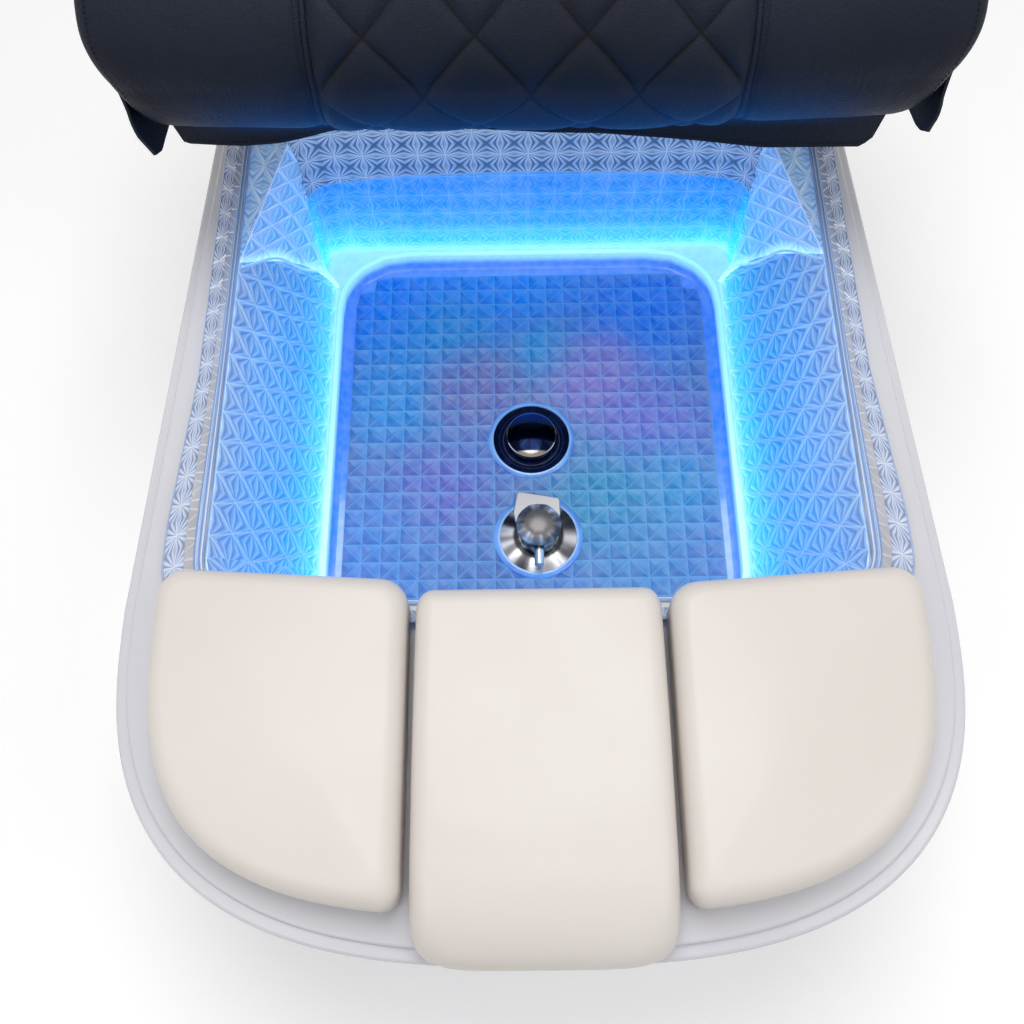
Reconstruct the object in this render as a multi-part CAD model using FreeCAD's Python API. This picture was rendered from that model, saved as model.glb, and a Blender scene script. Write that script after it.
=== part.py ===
import FreeCAD, Part
import math
import os

from FreeCAD import Vector

# Pedicure bench: a boat-shaped white base with a crystal-pattern foot bowl, three
# footrest pads at the front and a quilted seat on a pedestal at the rear.
# Millimetres. X to the sitter's left, Y from the front to the back, Z up.
# The origin lies on the ground, under the middle of the overall box.

# Overall length and the shell's outline at its lip
overall_length = 1180.0
pad_overhang = 3.0
shell_half_width = 368.0
shell_rear_half_width = 330.0
front_curve_length = 297.0
front_curve_power = 2.8
front_curve_arcs = 8
seat_rear_overhang = 52.0
rear_corner_radius = 90.0

# Gaps and fits shared by the whole part
seat_gap = 0.3
middle_share = 0.5
running_clearance = 0.05
cut_overrun = 1.0

# Deck with its stepped lip
deck_top = 340.0
deck_thickness = 5.0
ledge_step_inset = 11.0
ledge_round = 3.0
bead_drop = 7.0
bead_height = 16.0
bead_round = 4.0
lip_skirt_height = 18.0
lip_skirt_inset = 4.0
lip_wall = 5.0

# Skirt under the deck
skirt_bottom = 20.0
skirt_wall = 5.0
skirt_bottom_inset = 52.0
skirt_knee_height = 90.0
skirt_knee_inset = 44.0
skirt_shoulder_height = 250.0
skirt_shoulder_inset = 16.0
skirt_rear_inset = 20.0
skirt_flange_width = 84.0
skirt_flange_thickness = 5.0

# Bowl
bowl_depth = 230.0
bowl_wall = 4.0
well_half_width = 228.0
well_length = 494.0
well_centre_y = -8.0
well_depth = 25.0
well_radius = 75.0
ledge_width = 8.0
rim_half_width = 297.0
rim_front = -290.0
rim_rear = 278.0
rim_front_radius = 45.0
rim_rear_radius = 60.0
back_wall_low_y = 249.0
back_wall_high_y = 257.0
back_corner_low_x = 254.0
back_corner_high_x = 259.0
back_corner_radius = 26.0
facet_low_y = 190.0
facet_high_y = 75.0
bowl_flange_width = 21.0
bowl_flange_thickness = 4.0
deck_opening_clearance = 1.0

# Rim band on the bowl's flange
band_thickness = 6.0
band_rear_width = 25.0
band_front_width = 37.0
band_knee_y = -60.0
band_flare_y = -215.0
band_front_depth = 22.0
band_corner_radius = 60.0

# Chassis and feet
foot_pad_radius = 24.0
foot_pad_height = 12.0
foot_stem_radius = 6.0
foot_stem_hole_clearance = 3.0
tube_width = 30.0
tube_wall = 2.0
rail_centre_x = 250.0
rail_front_gap = 187.0
rail_rear_gap = 68.0
foot_end_inset = 40.0
support_inset = 40.0
support_block_x = 175.0
support_block_width = 60.0
support_block_length = 30.0

# Light strip round the well, under the bowl's ledge
strip_width = 8.0
strip_height = 11.0
driver_length = 96.0
driver_width = 46.0
driver_height = 32.0
driver_centre_x = -150.0
driver_foot_height = 3.0
driver_foot_width = 14.0
driver_screw_radius = 2.5
driver_screw_head_radius = 4.5
driver_screw_head_height = 2.5

# Drain
drain_y = -10.0
drain_bore_radius = 24.0
drain_flange_radius = 49.0
drain_flange_thickness = 3.0
drain_dish_radius = 44.0
drain_dish_depth = 1.6
drain_tail_wall = 2.5
drain_throat_clearance = 0.5
drain_guide_radius = 8.0
drain_guide_height = 8.0
drain_spoke_width = 3.0
drain_spoke_height = 5.0
drain_spoke_count = 3
drain_guide_drop = 4.0
stopper_radius = 29.0
stopper_edge = 5.0
stopper_dome = 5.0
stopper_travel = 8.0
stopper_stem_radius = 4.0
stopper_stem_length = 26.0
stopper_groove_depth = 1.2
stopper_groove_width = 2.0
seal_ring_width = 10.0
seal_ring_thickness = 3.0
drain_nut_radius = 35.0
drain_nut_height = 10.0
waste_radius = 16.0
waste_wall = 2.0
waste_height = 74.0
waste_cup_depth = 38.0
waste_stub_length = 34.0
waste_stub_radius = 15.0

# Filler on the bowl's floor
filler_x = 6.0
filler_y = -134.0
filler_bore_radius = 14.0
filler_plate_radius = 48.0
filler_plate_edge = 3.0
filler_plate_dome = 7.0
filler_body_radius = 21.0
filler_body_height = 17.0
filler_shank_clearance = 0.3
filler_shank_length = 22.0
filler_nut_radius = 22.0
filler_nut_height = 9.0
spout_width = 47.0
spout_reach = 56.0
spout_thickness = 5.0
spout_round = 8.0
spout_height = 9.0
knob_radius = 23.0
knob_edge = 8.0
knob_dome = 12.0
knob_gap = 0.3
knob_pin_radius = 5.0
knob_pin_depth = 12.0
lever_radius = 3.6
lever_start = 8.0
lever_end = 36.0
lever_rise = 12.0

# Water supply behind the bowl
supply_radius = 6.0
supply_height = 64.0
supply_bend_radius = 22.0
supply_splay_length = 60.0
inlet_x = 75.0
inlet_thread_radius = 10.5
inlet_length = 26.0
inlet_nut_radius = 16.0
inlet_nut_length = 8.0

# Rear service panel
panel_half_width = 190.0
panel_bottom = 40.0
panel_height = 150.0
panel_thickness = 3.0
panel_radius = 14.0
panel_lap = 13.0
panel_screw_radius = 2.5
panel_screw_head_radius = 5.0
panel_screw_head_height = 2.6
panel_screw_inset = 8.0
panel_screw_grip = 3.0
power_inlet_x = -60.0
power_inlet_z = 140.0
power_inlet_width = 48.0
power_inlet_height = 27.0
power_inlet_depth = 24.0
power_flange_margin = 5.0
power_flange_thickness = 2.5
power_socket_margin = 6.0
power_socket_depth = 16.0
power_blade_width = 4.0
power_blade_thickness = 2.0
power_blade_length = 11.0
power_blade_spread = 11.0

# Footrest pads on the front deck
pad_top = 398.0
pad_board_lift = 1.5
pad_board_thickness = 9.0
pad_board_inset = 6.0
pad_gap = 7.0
centre_pad_half_width = 103.0
pad_rear = -298.0
side_pad_rear_skew = 12.0
side_pad_lip_inset = 49.0
side_pad_front_inset = 39.0
pad_corner_radius = 24.0
pad_front_corner_radius = 14.0
pad_shoulder = 20.0
pad_crown = 3.0
pad_arcs = 4
centre_pad_nose_length = 76.0
centre_pad_front_round = 30.0
centre_pad_hem = 13.0
centre_pad_side_draw = 14.0
centre_pad_nose_foot = 5.0

# Pegs of the side pads, and the grommets that take them
peg_radius = 5.0
peg_length = 24.0
grommet_wall = 3.0
grommet_flange_radius = 13.0
grommet_flange_thickness = 1.2
grommet_depth = 12.0
peg_inner_x = 140.0
peg_outer_x = 255.0
peg_rear_gap = 42.0
peg_front_gap = 102.0

# Posts and sleeves of the centre footrest
post_radius = 8.0
post_spread = 60.0
post_front_gap = 147.0
footrest_travel = 90.0
sleeve_wall = 5.0
sleeve_length = 50.0
sleeve_flange_radius = 21.0
tie_bar_height = 8.0
tie_bar_width = 24.0
tie_stop_gap = 2.0

# Seat pedestal, beams and slide rails
pedestal_half_width = 250.0
pedestal_length = 208.0
pedestal_rear_gap = 16.0
pedestal_height = 85.0
pedestal_wall = 4.0
pedestal_radius = 24.0
beam_width = 40.0
beam_height = 25.0
beam_valance_gap = 37.0
beam_centre_x = 180.0
rail_channel_floor = 2.0
rail_channel_wall = 2.5
rail_channel_height = 9.0
rail_bar_clearance = 0.4
rail_bar_height = 10.0
seat_travel = 100.0
rail_end_gap = 2.0
beam_bolt_radius = 4.0
beam_bolt_head_radius = 7.0
beam_bolt_head_height = 4.0
beam_bolt_inset = 30.0

# Seat board and cushions
seat_board_thickness = 15.0
seat_board_half_width = 352.0
seat_board_front = 218.0
seat_board_rear_inset = 12.0
seat_board_radius = 20.0
seat_half_width = 382.0
seat_centre_half_width = 190.0
seat_roll_radius = 80.0
seat_roll_front = 114.0
seat_roll_drop = 2.0
seat_board_clearance = 1.0
seat_rear_round = 30.0
seat_seam_gap = 0.6
seat_seam_draw = 8.0
seat_end_draw = 16.0
seat_crown = 4.0

# Diamond quilting sewn into the front roll and top of the seat's middle cushion
quilt_pitch = 94.5
quilt_row_y = 117.0
quilt_row_z = 521.0
quilt_front_lean_y = 0.829
quilt_front_lean_z = -0.968
quilt_top_lean_y = 0.8
quilt_top_lean_z = 0.35
quilt_low_z = 474.0
quilt_rear_inset = 34.0
quilt_edge_inset = 4.0
quilt_groove_width = 3.0
quilt_groove_depth = 2.5

# Leather flaps at the seat's sides and under its front roll
flap_thickness = 4.0
flap_top = 585.0
flap_bottom = 452.0
flap_front = 150.0
flap_rear_inset = 6.0
ear_drop = 12.0
ear_lead = 22.0
ear_length = 40.0
valance_half_width = 338.0
valance_thickness = 3.0
valance_y = 196.0
valance_bottom = 436.0
valance_rise = 16.0

# Latch that holds the seat on its rails
latch_x = 262.0
latch_pin_radius = 4.0
latch_plate_length = 34.0
latch_plate_thickness = 4.0
latch_arm_width = 22.0
latch_arm_thickness = 4.0
latch_arm_reach = 92.0
latch_shoe_reach = 54.0
latch_shoe_length = 10.0
latch_shoe_height = 9.0
brake_strip_width = 16.0
brake_strip_thickness = 2.5
brake_strip_margin = 6.0
latch_drop = 11.0
latch_ear_gap = 0.4
latch_boss_radius = 7.5
latch_grip_radius = 6.0
latch_grip_length = 46.0

# Levels and places worked out from the sizes above
front_end = -overall_length / 2
rear_end = overall_length / 2
shell_front = front_end + pad_overhang
shell_rear = rear_end - seat_rear_overhang
front_curve_start = shell_front + front_curve_length
peg_rear_y = pad_rear - peg_rear_gap
peg_front_y = shell_front + peg_front_gap
post_y = shell_front + post_front_gap
rail_front = shell_front + rail_front_gap
rail_rear = shell_rear - rail_rear_gap
front_tie_y = rail_front + tube_width / 2
rear_tie_y = rail_rear - tube_width / 2
pedestal_rear = shell_rear - pedestal_rear_gap
pedestal_front = pedestal_rear - pedestal_length
beam_front = valance_y + valance_thickness + beam_valance_gap
deck_under = deck_top - deck_thickness
lip_bottom = deck_top - bead_drop - bead_height - lip_skirt_height
floor_top = deck_top - bowl_depth
floor_under = floor_top - bowl_wall
ledge_top = floor_top + well_depth
flange_top = deck_top + bowl_flange_thickness
band_top = flange_top + band_thickness
well_front = well_centre_y - well_length / 2
well_rear = well_centre_y + well_length / 2
front_support_y = well_front + support_inset
rear_support_y = well_rear - support_inset
rail_bottom = skirt_bottom + skirt_flange_thickness
rail_top = rail_bottom + tube_width
board_bottom = deck_top + pad_board_lift
board_top = board_bottom + pad_board_thickness
pad_bottom = max(board_top, band_top) + seat_gap
sleeve_bottom = deck_top - sleeve_length
tie_top = sleeve_bottom - footrest_travel - tie_stop_gap
pedestal_top = deck_top + pedestal_height
beam_top = pedestal_top + beam_height
rail_bar_bottom = beam_top + rail_channel_floor + seat_gap
seat_board_bottom = rail_bar_bottom + rail_bar_height
seat_board_top = seat_board_bottom + seat_board_thickness
seat_bottom = seat_board_bottom - seat_roll_drop
seat_roll_centre_z = seat_bottom + seat_roll_radius
seat_top = seat_bottom + 2 * seat_roll_radius
seat_roll_centre_y = seat_roll_front + seat_roll_radius
panel_face = shell_rear - skirt_rear_inset
drain_nut_bottom = floor_under - seal_ring_thickness - drain_nut_height
waste_cup_bottom = drain_nut_bottom - waste_cup_depth
latch_y = beam_front + seat_travel + latch_arm_width / 2 + brake_strip_margin

hexagon_sides = 6
hexagon_step = 2 * math.pi / hexagon_sides

saved_names = []


# Plain solids
def box(low_x, high_x, low_y, high_y, low_z, high_z):
    return Part.makeBox(high_x - low_x, high_y - low_y, high_z - low_z, Vector(low_x, low_y, low_z))


def upright(radius, x, y, low_z, high_z):
    return Part.makeCylinder(radius, high_z - low_z, Vector(x, y, low_z))


def upright_ring(outer, inner, x, y, low_z, high_z):
    return upright(outer, x, y, low_z, high_z).cut(upright(inner, x, y, low_z, high_z))


def along_y(radius, x, z, low_y, high_y):
    return Part.makeCylinder(radius, high_y - low_y, Vector(x, low_y, z), Vector(0, 1, 0))


def along_x(radius, y, z, low_x, high_x):
    return Part.makeCylinder(radius, high_x - low_x, Vector(low_x, y, z), Vector(1, 0, 0))


def turned(outline, x, y):
    # A solid of revolution about the vertical line through x, y; outline is (radius, height)
    points = [Vector(x + radius, y, height) for radius, height in outline]
    wire = Part.makePolygon(points + [points[0]])
    return Part.Face(wire).revolve(Vector(x, y, 0), Vector(0, 0, 1), 360)


def dome(radius, x, y, low_z, edge, rise):
    # A disc with a straight edge and a shallow spherical top
    sphere_radius = (radius * radius + rise * rise) / (2 * rise)
    ball = Part.makeSphere(sphere_radius, Vector(x, y, low_z + edge + rise - sphere_radius))
    return upright(radius, x, y, low_z, low_z + edge + rise).common(ball)


def prism(wire, height):
    return Part.Face(wire).extrude(Vector(0, 0, height))


def ruled(wires):
    return Part.makeLoft(wires, True, True)


def merged(shapes):
    whole = shapes[0].fuse(shapes[1:]) if len(shapes) > 1 else shapes[0]
    return whole.removeSplitter()


def mirrored(shape):
    return shape.mirror(Vector(0, 0, 0), Vector(1, 0, 0))


def save(name, shapes):
    # One file for each node; a list is a group of separate solids
    shape = Part.makeCompound(shapes) if isinstance(shapes, list) else shapes
    shape.exportStep(os.path.join("parts", name + ".step"))
    saved_names.append(name)
    solids = shape.Solids
    valid = all(solid.isValid() for solid in solids)
    print(f"{name}: {len(solids)} solids, {shape.Volume / 1000:.1f} cm3, valid {valid}")


# Outlines
def line(start, end):
    return Part.LineSegment(start, end).toShape()


def arc(start, middle, end):
    return Part.Arc(start, middle, end).toShape()


def corner_arc(centre_x, centre_y, radius, from_angle, to_angle, z):
    angles = (from_angle, (from_angle + to_angle) / 2, to_angle)
    points = [
        Vector(
            centre_x + radius * math.cos(math.radians(angle)),
            centre_y + radius * math.sin(math.radians(angle)),
            z,
        )
        for angle in angles
    ]
    return arc(*points)


def rounded_outline(half_width, front, rear, front_radius, rear_radius, z):
    return Part.Wire([
        corner_arc(half_width - rear_radius, rear - rear_radius, rear_radius, 0, 90, z),
        line(Vector(half_width - rear_radius, rear, z), Vector(rear_radius - half_width, rear, z)),
        corner_arc(rear_radius - half_width, rear - rear_radius, rear_radius, 90, 180, z),
        line(Vector(-half_width, rear - rear_radius, z), Vector(-half_width, front + front_radius, z)),
        corner_arc(front_radius - half_width, front + front_radius, front_radius, 180, 270, z),
        line(Vector(front_radius - half_width, front, z), Vector(half_width - front_radius, front, z)),
        corner_arc(half_width - front_radius, front + front_radius, front_radius, 270, 360, z),
        line(Vector(half_width, front + front_radius, z), Vector(half_width, rear - rear_radius, z)),
    ])


def full_curve_point(half_width, start_y, reach, share, z):
    # A point on the full, squared-off round of the front: share runs from 0 at the side to 1 at the nose
    angle = share * math.pi / 2
    power = 2 / front_curve_power
    return Vector(
        half_width * abs(math.cos(angle)) ** power,
        start_y - reach * abs(math.sin(angle)) ** power,
        z,
    )


def curve_arcs(points):
    return [arc(points[i], points[i + 1], points[i + 2]) for i in range(0, len(points) - 2, 2)]


def shell_outline(inset, rear_inset, z):
    # The boat shape seen from above, drawn in by an inset
    half_width = shell_half_width - inset
    rear_half_width = shell_rear_half_width - inset
    rear = shell_rear - rear_inset
    radius = rear_corner_radius - rear_inset
    reach = front_curve_length - inset
    steps = front_curve_arcs
    right = [full_curve_point(half_width, front_curve_start, reach, i / steps, z) for i in range(steps + 1)]
    left = [Vector(-point.x, point.y, z) for point in reversed(right[:-1])]
    edges = curve_arcs(right + left)
    edges.append(line(left[-1], Vector(-rear_half_width, rear - radius, z)))
    edges.append(corner_arc(radius - rear_half_width, rear - radius, radius, 180, 90, z))
    edges.append(line(Vector(radius - rear_half_width, rear, z), Vector(rear_half_width - radius, rear, z)))
    edges.append(corner_arc(rear_half_width - radius, rear - radius, radius, 90, 0, z))
    edges.append(line(Vector(rear_half_width, rear - radius, z), right[0]))
    return Part.Wire(edges)


def rim_outline(grow, z):
    return rounded_outline(
        rim_half_width + grow,
        rim_front - grow,
        rim_rear + grow,
        rim_front_radius + grow,
        rim_rear_radius + grow,
        z,
    )


# Shell of the base
def make_deck_shell():
    step_top = deck_top - bead_drop
    bead_bottom = step_top - bead_height
    body = merged([
        ruled([
            shell_outline(lip_skirt_inset, lip_skirt_inset, lip_bottom),
            shell_outline(0, 0, bead_bottom),
            shell_outline(0, 0, step_top - bead_round),
            shell_outline(bead_round, bead_round, step_top),
        ]),
        ruled([
            shell_outline(ledge_step_inset, ledge_step_inset, bead_bottom),
            shell_outline(ledge_step_inset, ledge_step_inset, deck_top - ledge_round),
            shell_outline(ledge_step_inset + ledge_round, ledge_step_inset + ledge_round, deck_top),
        ]),
    ])
    hollow_inset = ledge_step_inset + lip_wall
    hollow = prism(shell_outline(hollow_inset, hollow_inset, lip_bottom), deck_under - lip_bottom)
    body = body.cut(hollow)
    opening = rim_outline(bowl_wall + deck_opening_clearance, deck_under - cut_overrun)
    body = body.cut(prism(opening, deck_thickness + 2 * cut_overrun))
    for x, y in peg_places() + mirrored_places(peg_places()):
        hole = peg_radius + running_clearance + grommet_wall
        body = body.cut(upright(hole, x, y, deck_under - cut_overrun, deck_top + cut_overrun))
    for x in (-post_spread, post_spread):
        hole = post_radius + running_clearance + sleeve_wall
        body = body.cut(upright(hole, x, post_y, deck_under - cut_overrun, deck_top + cut_overrun))
    save("deck_shell", body)


def skirt_levels(extra):
    shoulder = ledge_step_inset + lip_wall + seat_gap
    return [
        (skirt_bottom, skirt_bottom_inset + extra),
        (skirt_knee_height, skirt_knee_inset + extra),
        (skirt_shoulder_height, max(skirt_shoulder_inset, shoulder) + extra),
        (deck_under, shoulder + extra),
    ]


def make_base_skirt():
    outer = ruled([shell_outline(inset, skirt_rear_inset, z) for z, inset in skirt_levels(0)])
    inner_levels = skirt_levels(skirt_wall)
    inner_rear = skirt_rear_inset + skirt_wall
    inner = ruled([shell_outline(inset, inner_rear, z) for z, inset in inner_levels])
    wall = outer.cut(inner)
    flange_inset = skirt_bottom_inset + skirt_wall / 2
    flange = prism(shell_outline(flange_inset, inner_rear - skirt_wall / 2, skirt_bottom), skirt_flange_thickness)
    flange_hole_inset = skirt_bottom_inset + skirt_flange_width
    hole = shell_outline(flange_hole_inset, skirt_flange_width, skirt_bottom - cut_overrun)
    flange = flange.cut(prism(hole, skirt_flange_thickness + 2 * cut_overrun))
    body = wall.fuse(flange)
    for x, y in foot_places():
        radius = foot_stem_radius + foot_stem_hole_clearance
        body = body.cut(upright(radius, x, y, skirt_bottom - cut_overrun, rail_bottom + cut_overrun))
    window = box(
        panel_lap - panel_half_width,
        panel_half_width - panel_lap,
        panel_face - skirt_wall - cut_overrun,
        panel_face + cut_overrun,
        panel_bottom + panel_lap,
        panel_bottom + panel_height - panel_lap,
    )
    body = body.cut(window)
    for x, z in panel_screw_places():
        body = body.cut(along_y(panel_screw_radius, x, z, panel_face - skirt_wall - cut_overrun, panel_face))
    save("base_skirt", body.removeSplitter())


# Bowl
def bowl_body(grow, top):
    # The hollow of the bowl, or its outside when grown by the wall
    well = prism(
        rounded_outline(
            well_half_width + grow,
            well_front - grow,
            well_rear + grow,
            well_radius + grow,
            well_radius + grow,
            floor_top - grow,
        ),
        well_depth + grow + cut_overrun,
    )
    sloped = ruled([bowl_wall_outline(0.0, grow, ledge_top - grow), bowl_wall_outline(1.0, grow, top)])
    return merged([well, sloped])


def bowl_wall_outline(rise_share, grow, z):
    # The walls at a level, from 0 at the ledge to 1 at the rim: straight sides, a slanted
    # facet towards each rear corner, and the back wall
    def between(low, high):
        return low + (high - low) * rise_share

    half_width = between(well_half_width + ledge_width, rim_half_width) + grow
    front = between(well_front - ledge_width, rim_front) - grow
    front_radius = between(well_radius + ledge_width, rim_front_radius) + grow
    facet_y = between(facet_low_y, facet_high_y)
    corner_x = between(back_corner_low_x, back_corner_high_x) + grow
    back = between(back_wall_low_y, back_wall_high_y) + grow
    radius = back_corner_radius
    diagonal = math.sqrt(0.5)
    right = [
        Vector(half_width, front + front_radius, z),
        Vector(half_width, facet_y, z),
        Vector(corner_x, back - radius, z),
        Vector(corner_x - radius * (1 - diagonal), back - radius * (1 - diagonal), z),
        Vector(corner_x - radius, back, z),
    ]
    left = [Vector(-point.x, point.y, z) for point in right]
    return Part.Wire([
        line(right[0], right[1]),
        line(right[1], right[2]),
        arc(right[2], right[3], right[4]),
        line(right[4], left[4]),
        arc(left[4], left[3], left[2]),
        line(left[2], left[1]),
        line(left[1], left[0]),
        corner_arc(front_radius - half_width, front + front_radius, front_radius, 180, 270, z),
        line(Vector(front_radius - half_width, front, z), Vector(half_width - front_radius, front, z)),
        corner_arc(half_width - front_radius, front + front_radius, front_radius, 270, 360, z),
    ])


def make_basin_bowl():
    body = bowl_body(bowl_wall, flange_top)
    flange = prism(rim_outline(bowl_flange_width, deck_top), bowl_flange_thickness)
    body = body.fuse(flange).cut(bowl_body(0, flange_top))
    body = body.cut(upright(drain_bore_radius, 0, drain_y, floor_under - cut_overrun, floor_top + cut_overrun))
    body = body.cut(
        upright(filler_bore_radius, filler_x, filler_y, floor_under - cut_overrun, floor_top + cut_overrun)
    )
    save("basin_bowl", body.removeSplitter())


def band_outline(z):
    rear_half_width = rim_half_width + band_rear_width
    front_half_width = rim_half_width + band_front_width
    rear = rim_rear + band_rear_width
    front = rim_front - band_front_depth
    radius = band_corner_radius
    rear_radius = rim_rear_radius + band_rear_width
    right = [
        Vector(rear_half_width, rear - rear_radius, z),
        Vector(rear_half_width, band_knee_y, z),
        Vector(front_half_width, band_flare_y, z),
        Vector(front_half_width, front + radius, z),
    ]
    left = [Vector(-point.x, point.y, z) for point in right]
    edges = [line(right[i], right[i + 1]) for i in range(len(right) - 1)]
    edges.append(corner_arc(front_half_width - radius, front + radius, radius, 360, 270, z))
    edges.append(line(Vector(front_half_width - radius, front, z), Vector(radius - front_half_width, front, z)))
    edges.append(corner_arc(radius - front_half_width, front + radius, radius, 270, 180, z))
    edges += [line(left[i + 1], left[i]) for i in reversed(range(len(left) - 1))]
    edges.append(corner_arc(rear_radius - rear_half_width, rear - rear_radius, rear_radius, 180, 90, z))
    edges.append(line(Vector(rear_radius - rear_half_width, rear, z), Vector(rear_half_width - rear_radius, rear, z)))
    edges.append(corner_arc(rear_half_width - rear_radius, rear - rear_radius, rear_radius, 90, 0, z))
    return Part.Wire(edges)


def make_rim_band():
    band = prism(band_outline(flange_top), band_thickness)
    opening = prism(rim_outline(0, flange_top - cut_overrun), band_thickness + 2 * cut_overrun)
    save("rim_band", band.cut(opening))


def make_light_strip():
    inside = bowl_wall + seat_gap
    outside = inside + strip_width
    top = ledge_top - bowl_wall - seat_gap
    bottom = top - strip_height

    def ring_outline(grow):
        radius = well_radius + grow
        return rounded_outline(
            well_half_width + grow, well_front - grow, well_rear + grow, radius, radius, bottom
        )

    strip = prism(ring_outline(outside), strip_height).cut(prism(ring_outline(inside), strip_height))
    save("light_strip", strip)


# Chassis
def foot_places():
    return [
        (side * rail_centre_x, y)
        for side in (-1, 1)
        for y in (rail_front + foot_end_inset, (rail_front + rail_rear) / 2, rail_rear - foot_end_inset)
    ]


def make_chassis():
    half = tube_width / 2
    hollow = half - tube_wall
    middle = rail_bottom + half
    rails = []
    for side in (-1, 1):
        x = side * rail_centre_x
        rail = box(x - half, x + half, rail_front, rail_rear, rail_bottom, rail_top)
        bore = box(x - hollow, x + hollow, rail_front, rail_rear, middle - hollow, middle + hollow)
        rail = rail.cut(bore)
        for foot_x, foot_y in foot_places():
            rail = rail.cut(upright(foot_stem_radius, foot_x, foot_y, rail_bottom, rail_bottom + tube_wall))
        rails.append(rail)
    save("chassis_rails", rails)
    reach = rail_centre_x - half
    ties = []
    for y in (front_tie_y, front_support_y, rear_support_y, rear_tie_y):
        tie = box(-reach, reach, y - half, y + half, rail_bottom, rail_top)
        ties.append(tie.cut(box(-reach, reach, y - hollow, y + hollow, middle - hollow, middle + hollow)))
    save("chassis_cross_tubes", ties)
    stem_top = rail_bottom + half
    save("foot_stems", [upright(foot_stem_radius, x, y, foot_pad_height, stem_top) for x, y in foot_places()])
    save("foot_pads", [upright(foot_pad_radius, x, y, 0, foot_pad_height) for x, y in foot_places()])
    half_width = support_block_width / 2
    half_length = support_block_length / 2
    blocks = [
        box(x - half_width, x + half_width, y - half_length, y + half_length, rail_top, floor_under)
        for x in (-support_block_x, support_block_x)
        for y in (front_support_y, rear_support_y)
    ]
    save("bowl_support_blocks", blocks)


# Power supply of the light strip, on the rear cross tube
def make_light_driver():
    low_x = driver_centre_x - driver_length / 2
    high_x = driver_centre_x + driver_length / 2
    half = driver_width / 2
    bottom = rail_top
    case = box(low_x, high_x, rear_tie_y - half, rear_tie_y + half, bottom, bottom + driver_height)
    case = case.makeFillet(driver_foot_height, case.Edges)
    feet = box(
        low_x - driver_foot_width,
        high_x + driver_foot_width,
        rear_tie_y - tube_width / 2,
        rear_tie_y + tube_width / 2,
        bottom,
        bottom + driver_foot_height,
    )
    body = case.fuse(feet)
    screws = []
    for x in (low_x - driver_foot_width / 2, high_x + driver_foot_width / 2):
        top = bottom + driver_foot_height
        body = body.cut(upright(driver_screw_radius, x, rear_tie_y, bottom - cut_overrun, top + cut_overrun))
        head = upright(driver_screw_head_radius, x, rear_tie_y, top, top + driver_screw_head_height)
        screws.append(head.fuse(upright(driver_screw_radius, x, rear_tie_y, bottom, top)))
    save("light_driver", body.removeSplitter())
    save("light_driver_screws", screws)


# Drain
def make_drain():
    throat = drain_bore_radius - drain_tail_wall - drain_throat_clearance
    tail = drain_bore_radius - drain_throat_clearance
    flange_top_z = floor_top + drain_flange_thickness
    body = upright(drain_flange_radius, 0, drain_y, floor_top, flange_top_z)
    dish = upright(drain_dish_radius, 0, drain_y, flange_top_z - drain_dish_depth, flange_top_z)
    body = body.cut(dish).fuse(upright(tail, 0, drain_y, drain_nut_bottom, floor_top))
    body = body.cut(upright(throat, 0, drain_y, waste_height, flange_top_z + cut_overrun))
    guide_top = floor_top - drain_guide_drop
    guide_bottom = guide_top - drain_guide_height
    hub = upright(drain_guide_radius, 0, drain_y, guide_bottom, guide_top)
    half = drain_spoke_width / 2
    for i in range(drain_spoke_count):
        reach = throat + drain_tail_wall / 2
        spoke = box(0, reach, drain_y - half, drain_y + half, guide_bottom, guide_bottom + drain_spoke_height)
        spoke.rotate(Vector(0, drain_y, 0), Vector(0, 0, 1), i * 360 / drain_spoke_count)
        hub = hub.fuse(spoke)
    bore = stopper_stem_radius + running_clearance
    body = body.fuse(hub).cut(upright(bore, 0, drain_y, guide_bottom - cut_overrun, guide_top + cut_overrun))
    save("drain_flange", body.removeSplitter())

    cap_bottom = flange_top_z - drain_dish_depth + stopper_travel + seat_gap
    cap = dome(stopper_radius, 0, drain_y, cap_bottom, stopper_edge, stopper_dome)
    groove_top = cap_bottom + stopper_groove_width
    groove = upright_ring(
        stopper_radius + cut_overrun,
        stopper_radius - stopper_groove_depth,
        0,
        drain_y,
        groove_top - stopper_groove_width / 2,
        groove_top + stopper_groove_width / 2,
    )
    stem_bottom = cap_bottom - stopper_stem_length
    stem = upright(stopper_stem_radius, 0, drain_y, stem_bottom, cap_bottom + stopper_edge / 2)
    save("drain_stopper", cap.cut(groove).fuse(stem).removeSplitter())

    seal_bottom = floor_under - seal_ring_thickness
    seal_outer = drain_bore_radius + seal_ring_width
    save("drain_gasket", upright_ring(seal_outer, drain_bore_radius, 0, drain_y, seal_bottom, floor_under))
    outer = hexagon(drain_nut_radius, 0, drain_y, drain_nut_bottom, drain_nut_height)
    bore = upright(tail, 0, drain_y, drain_nut_bottom - cut_overrun, seal_bottom + cut_overrun)
    save("drain_nut", outer.cut(bore))


def hexagon(radius, x, y, low_z, height):
    corners = [
        Vector(x + radius * math.cos(i * hexagon_step), y + radius * math.sin(i * hexagon_step), low_z)
        for i in range(hexagon_sides + 1)
    ]
    return prism(Part.makePolygon(corners), height)


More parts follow.
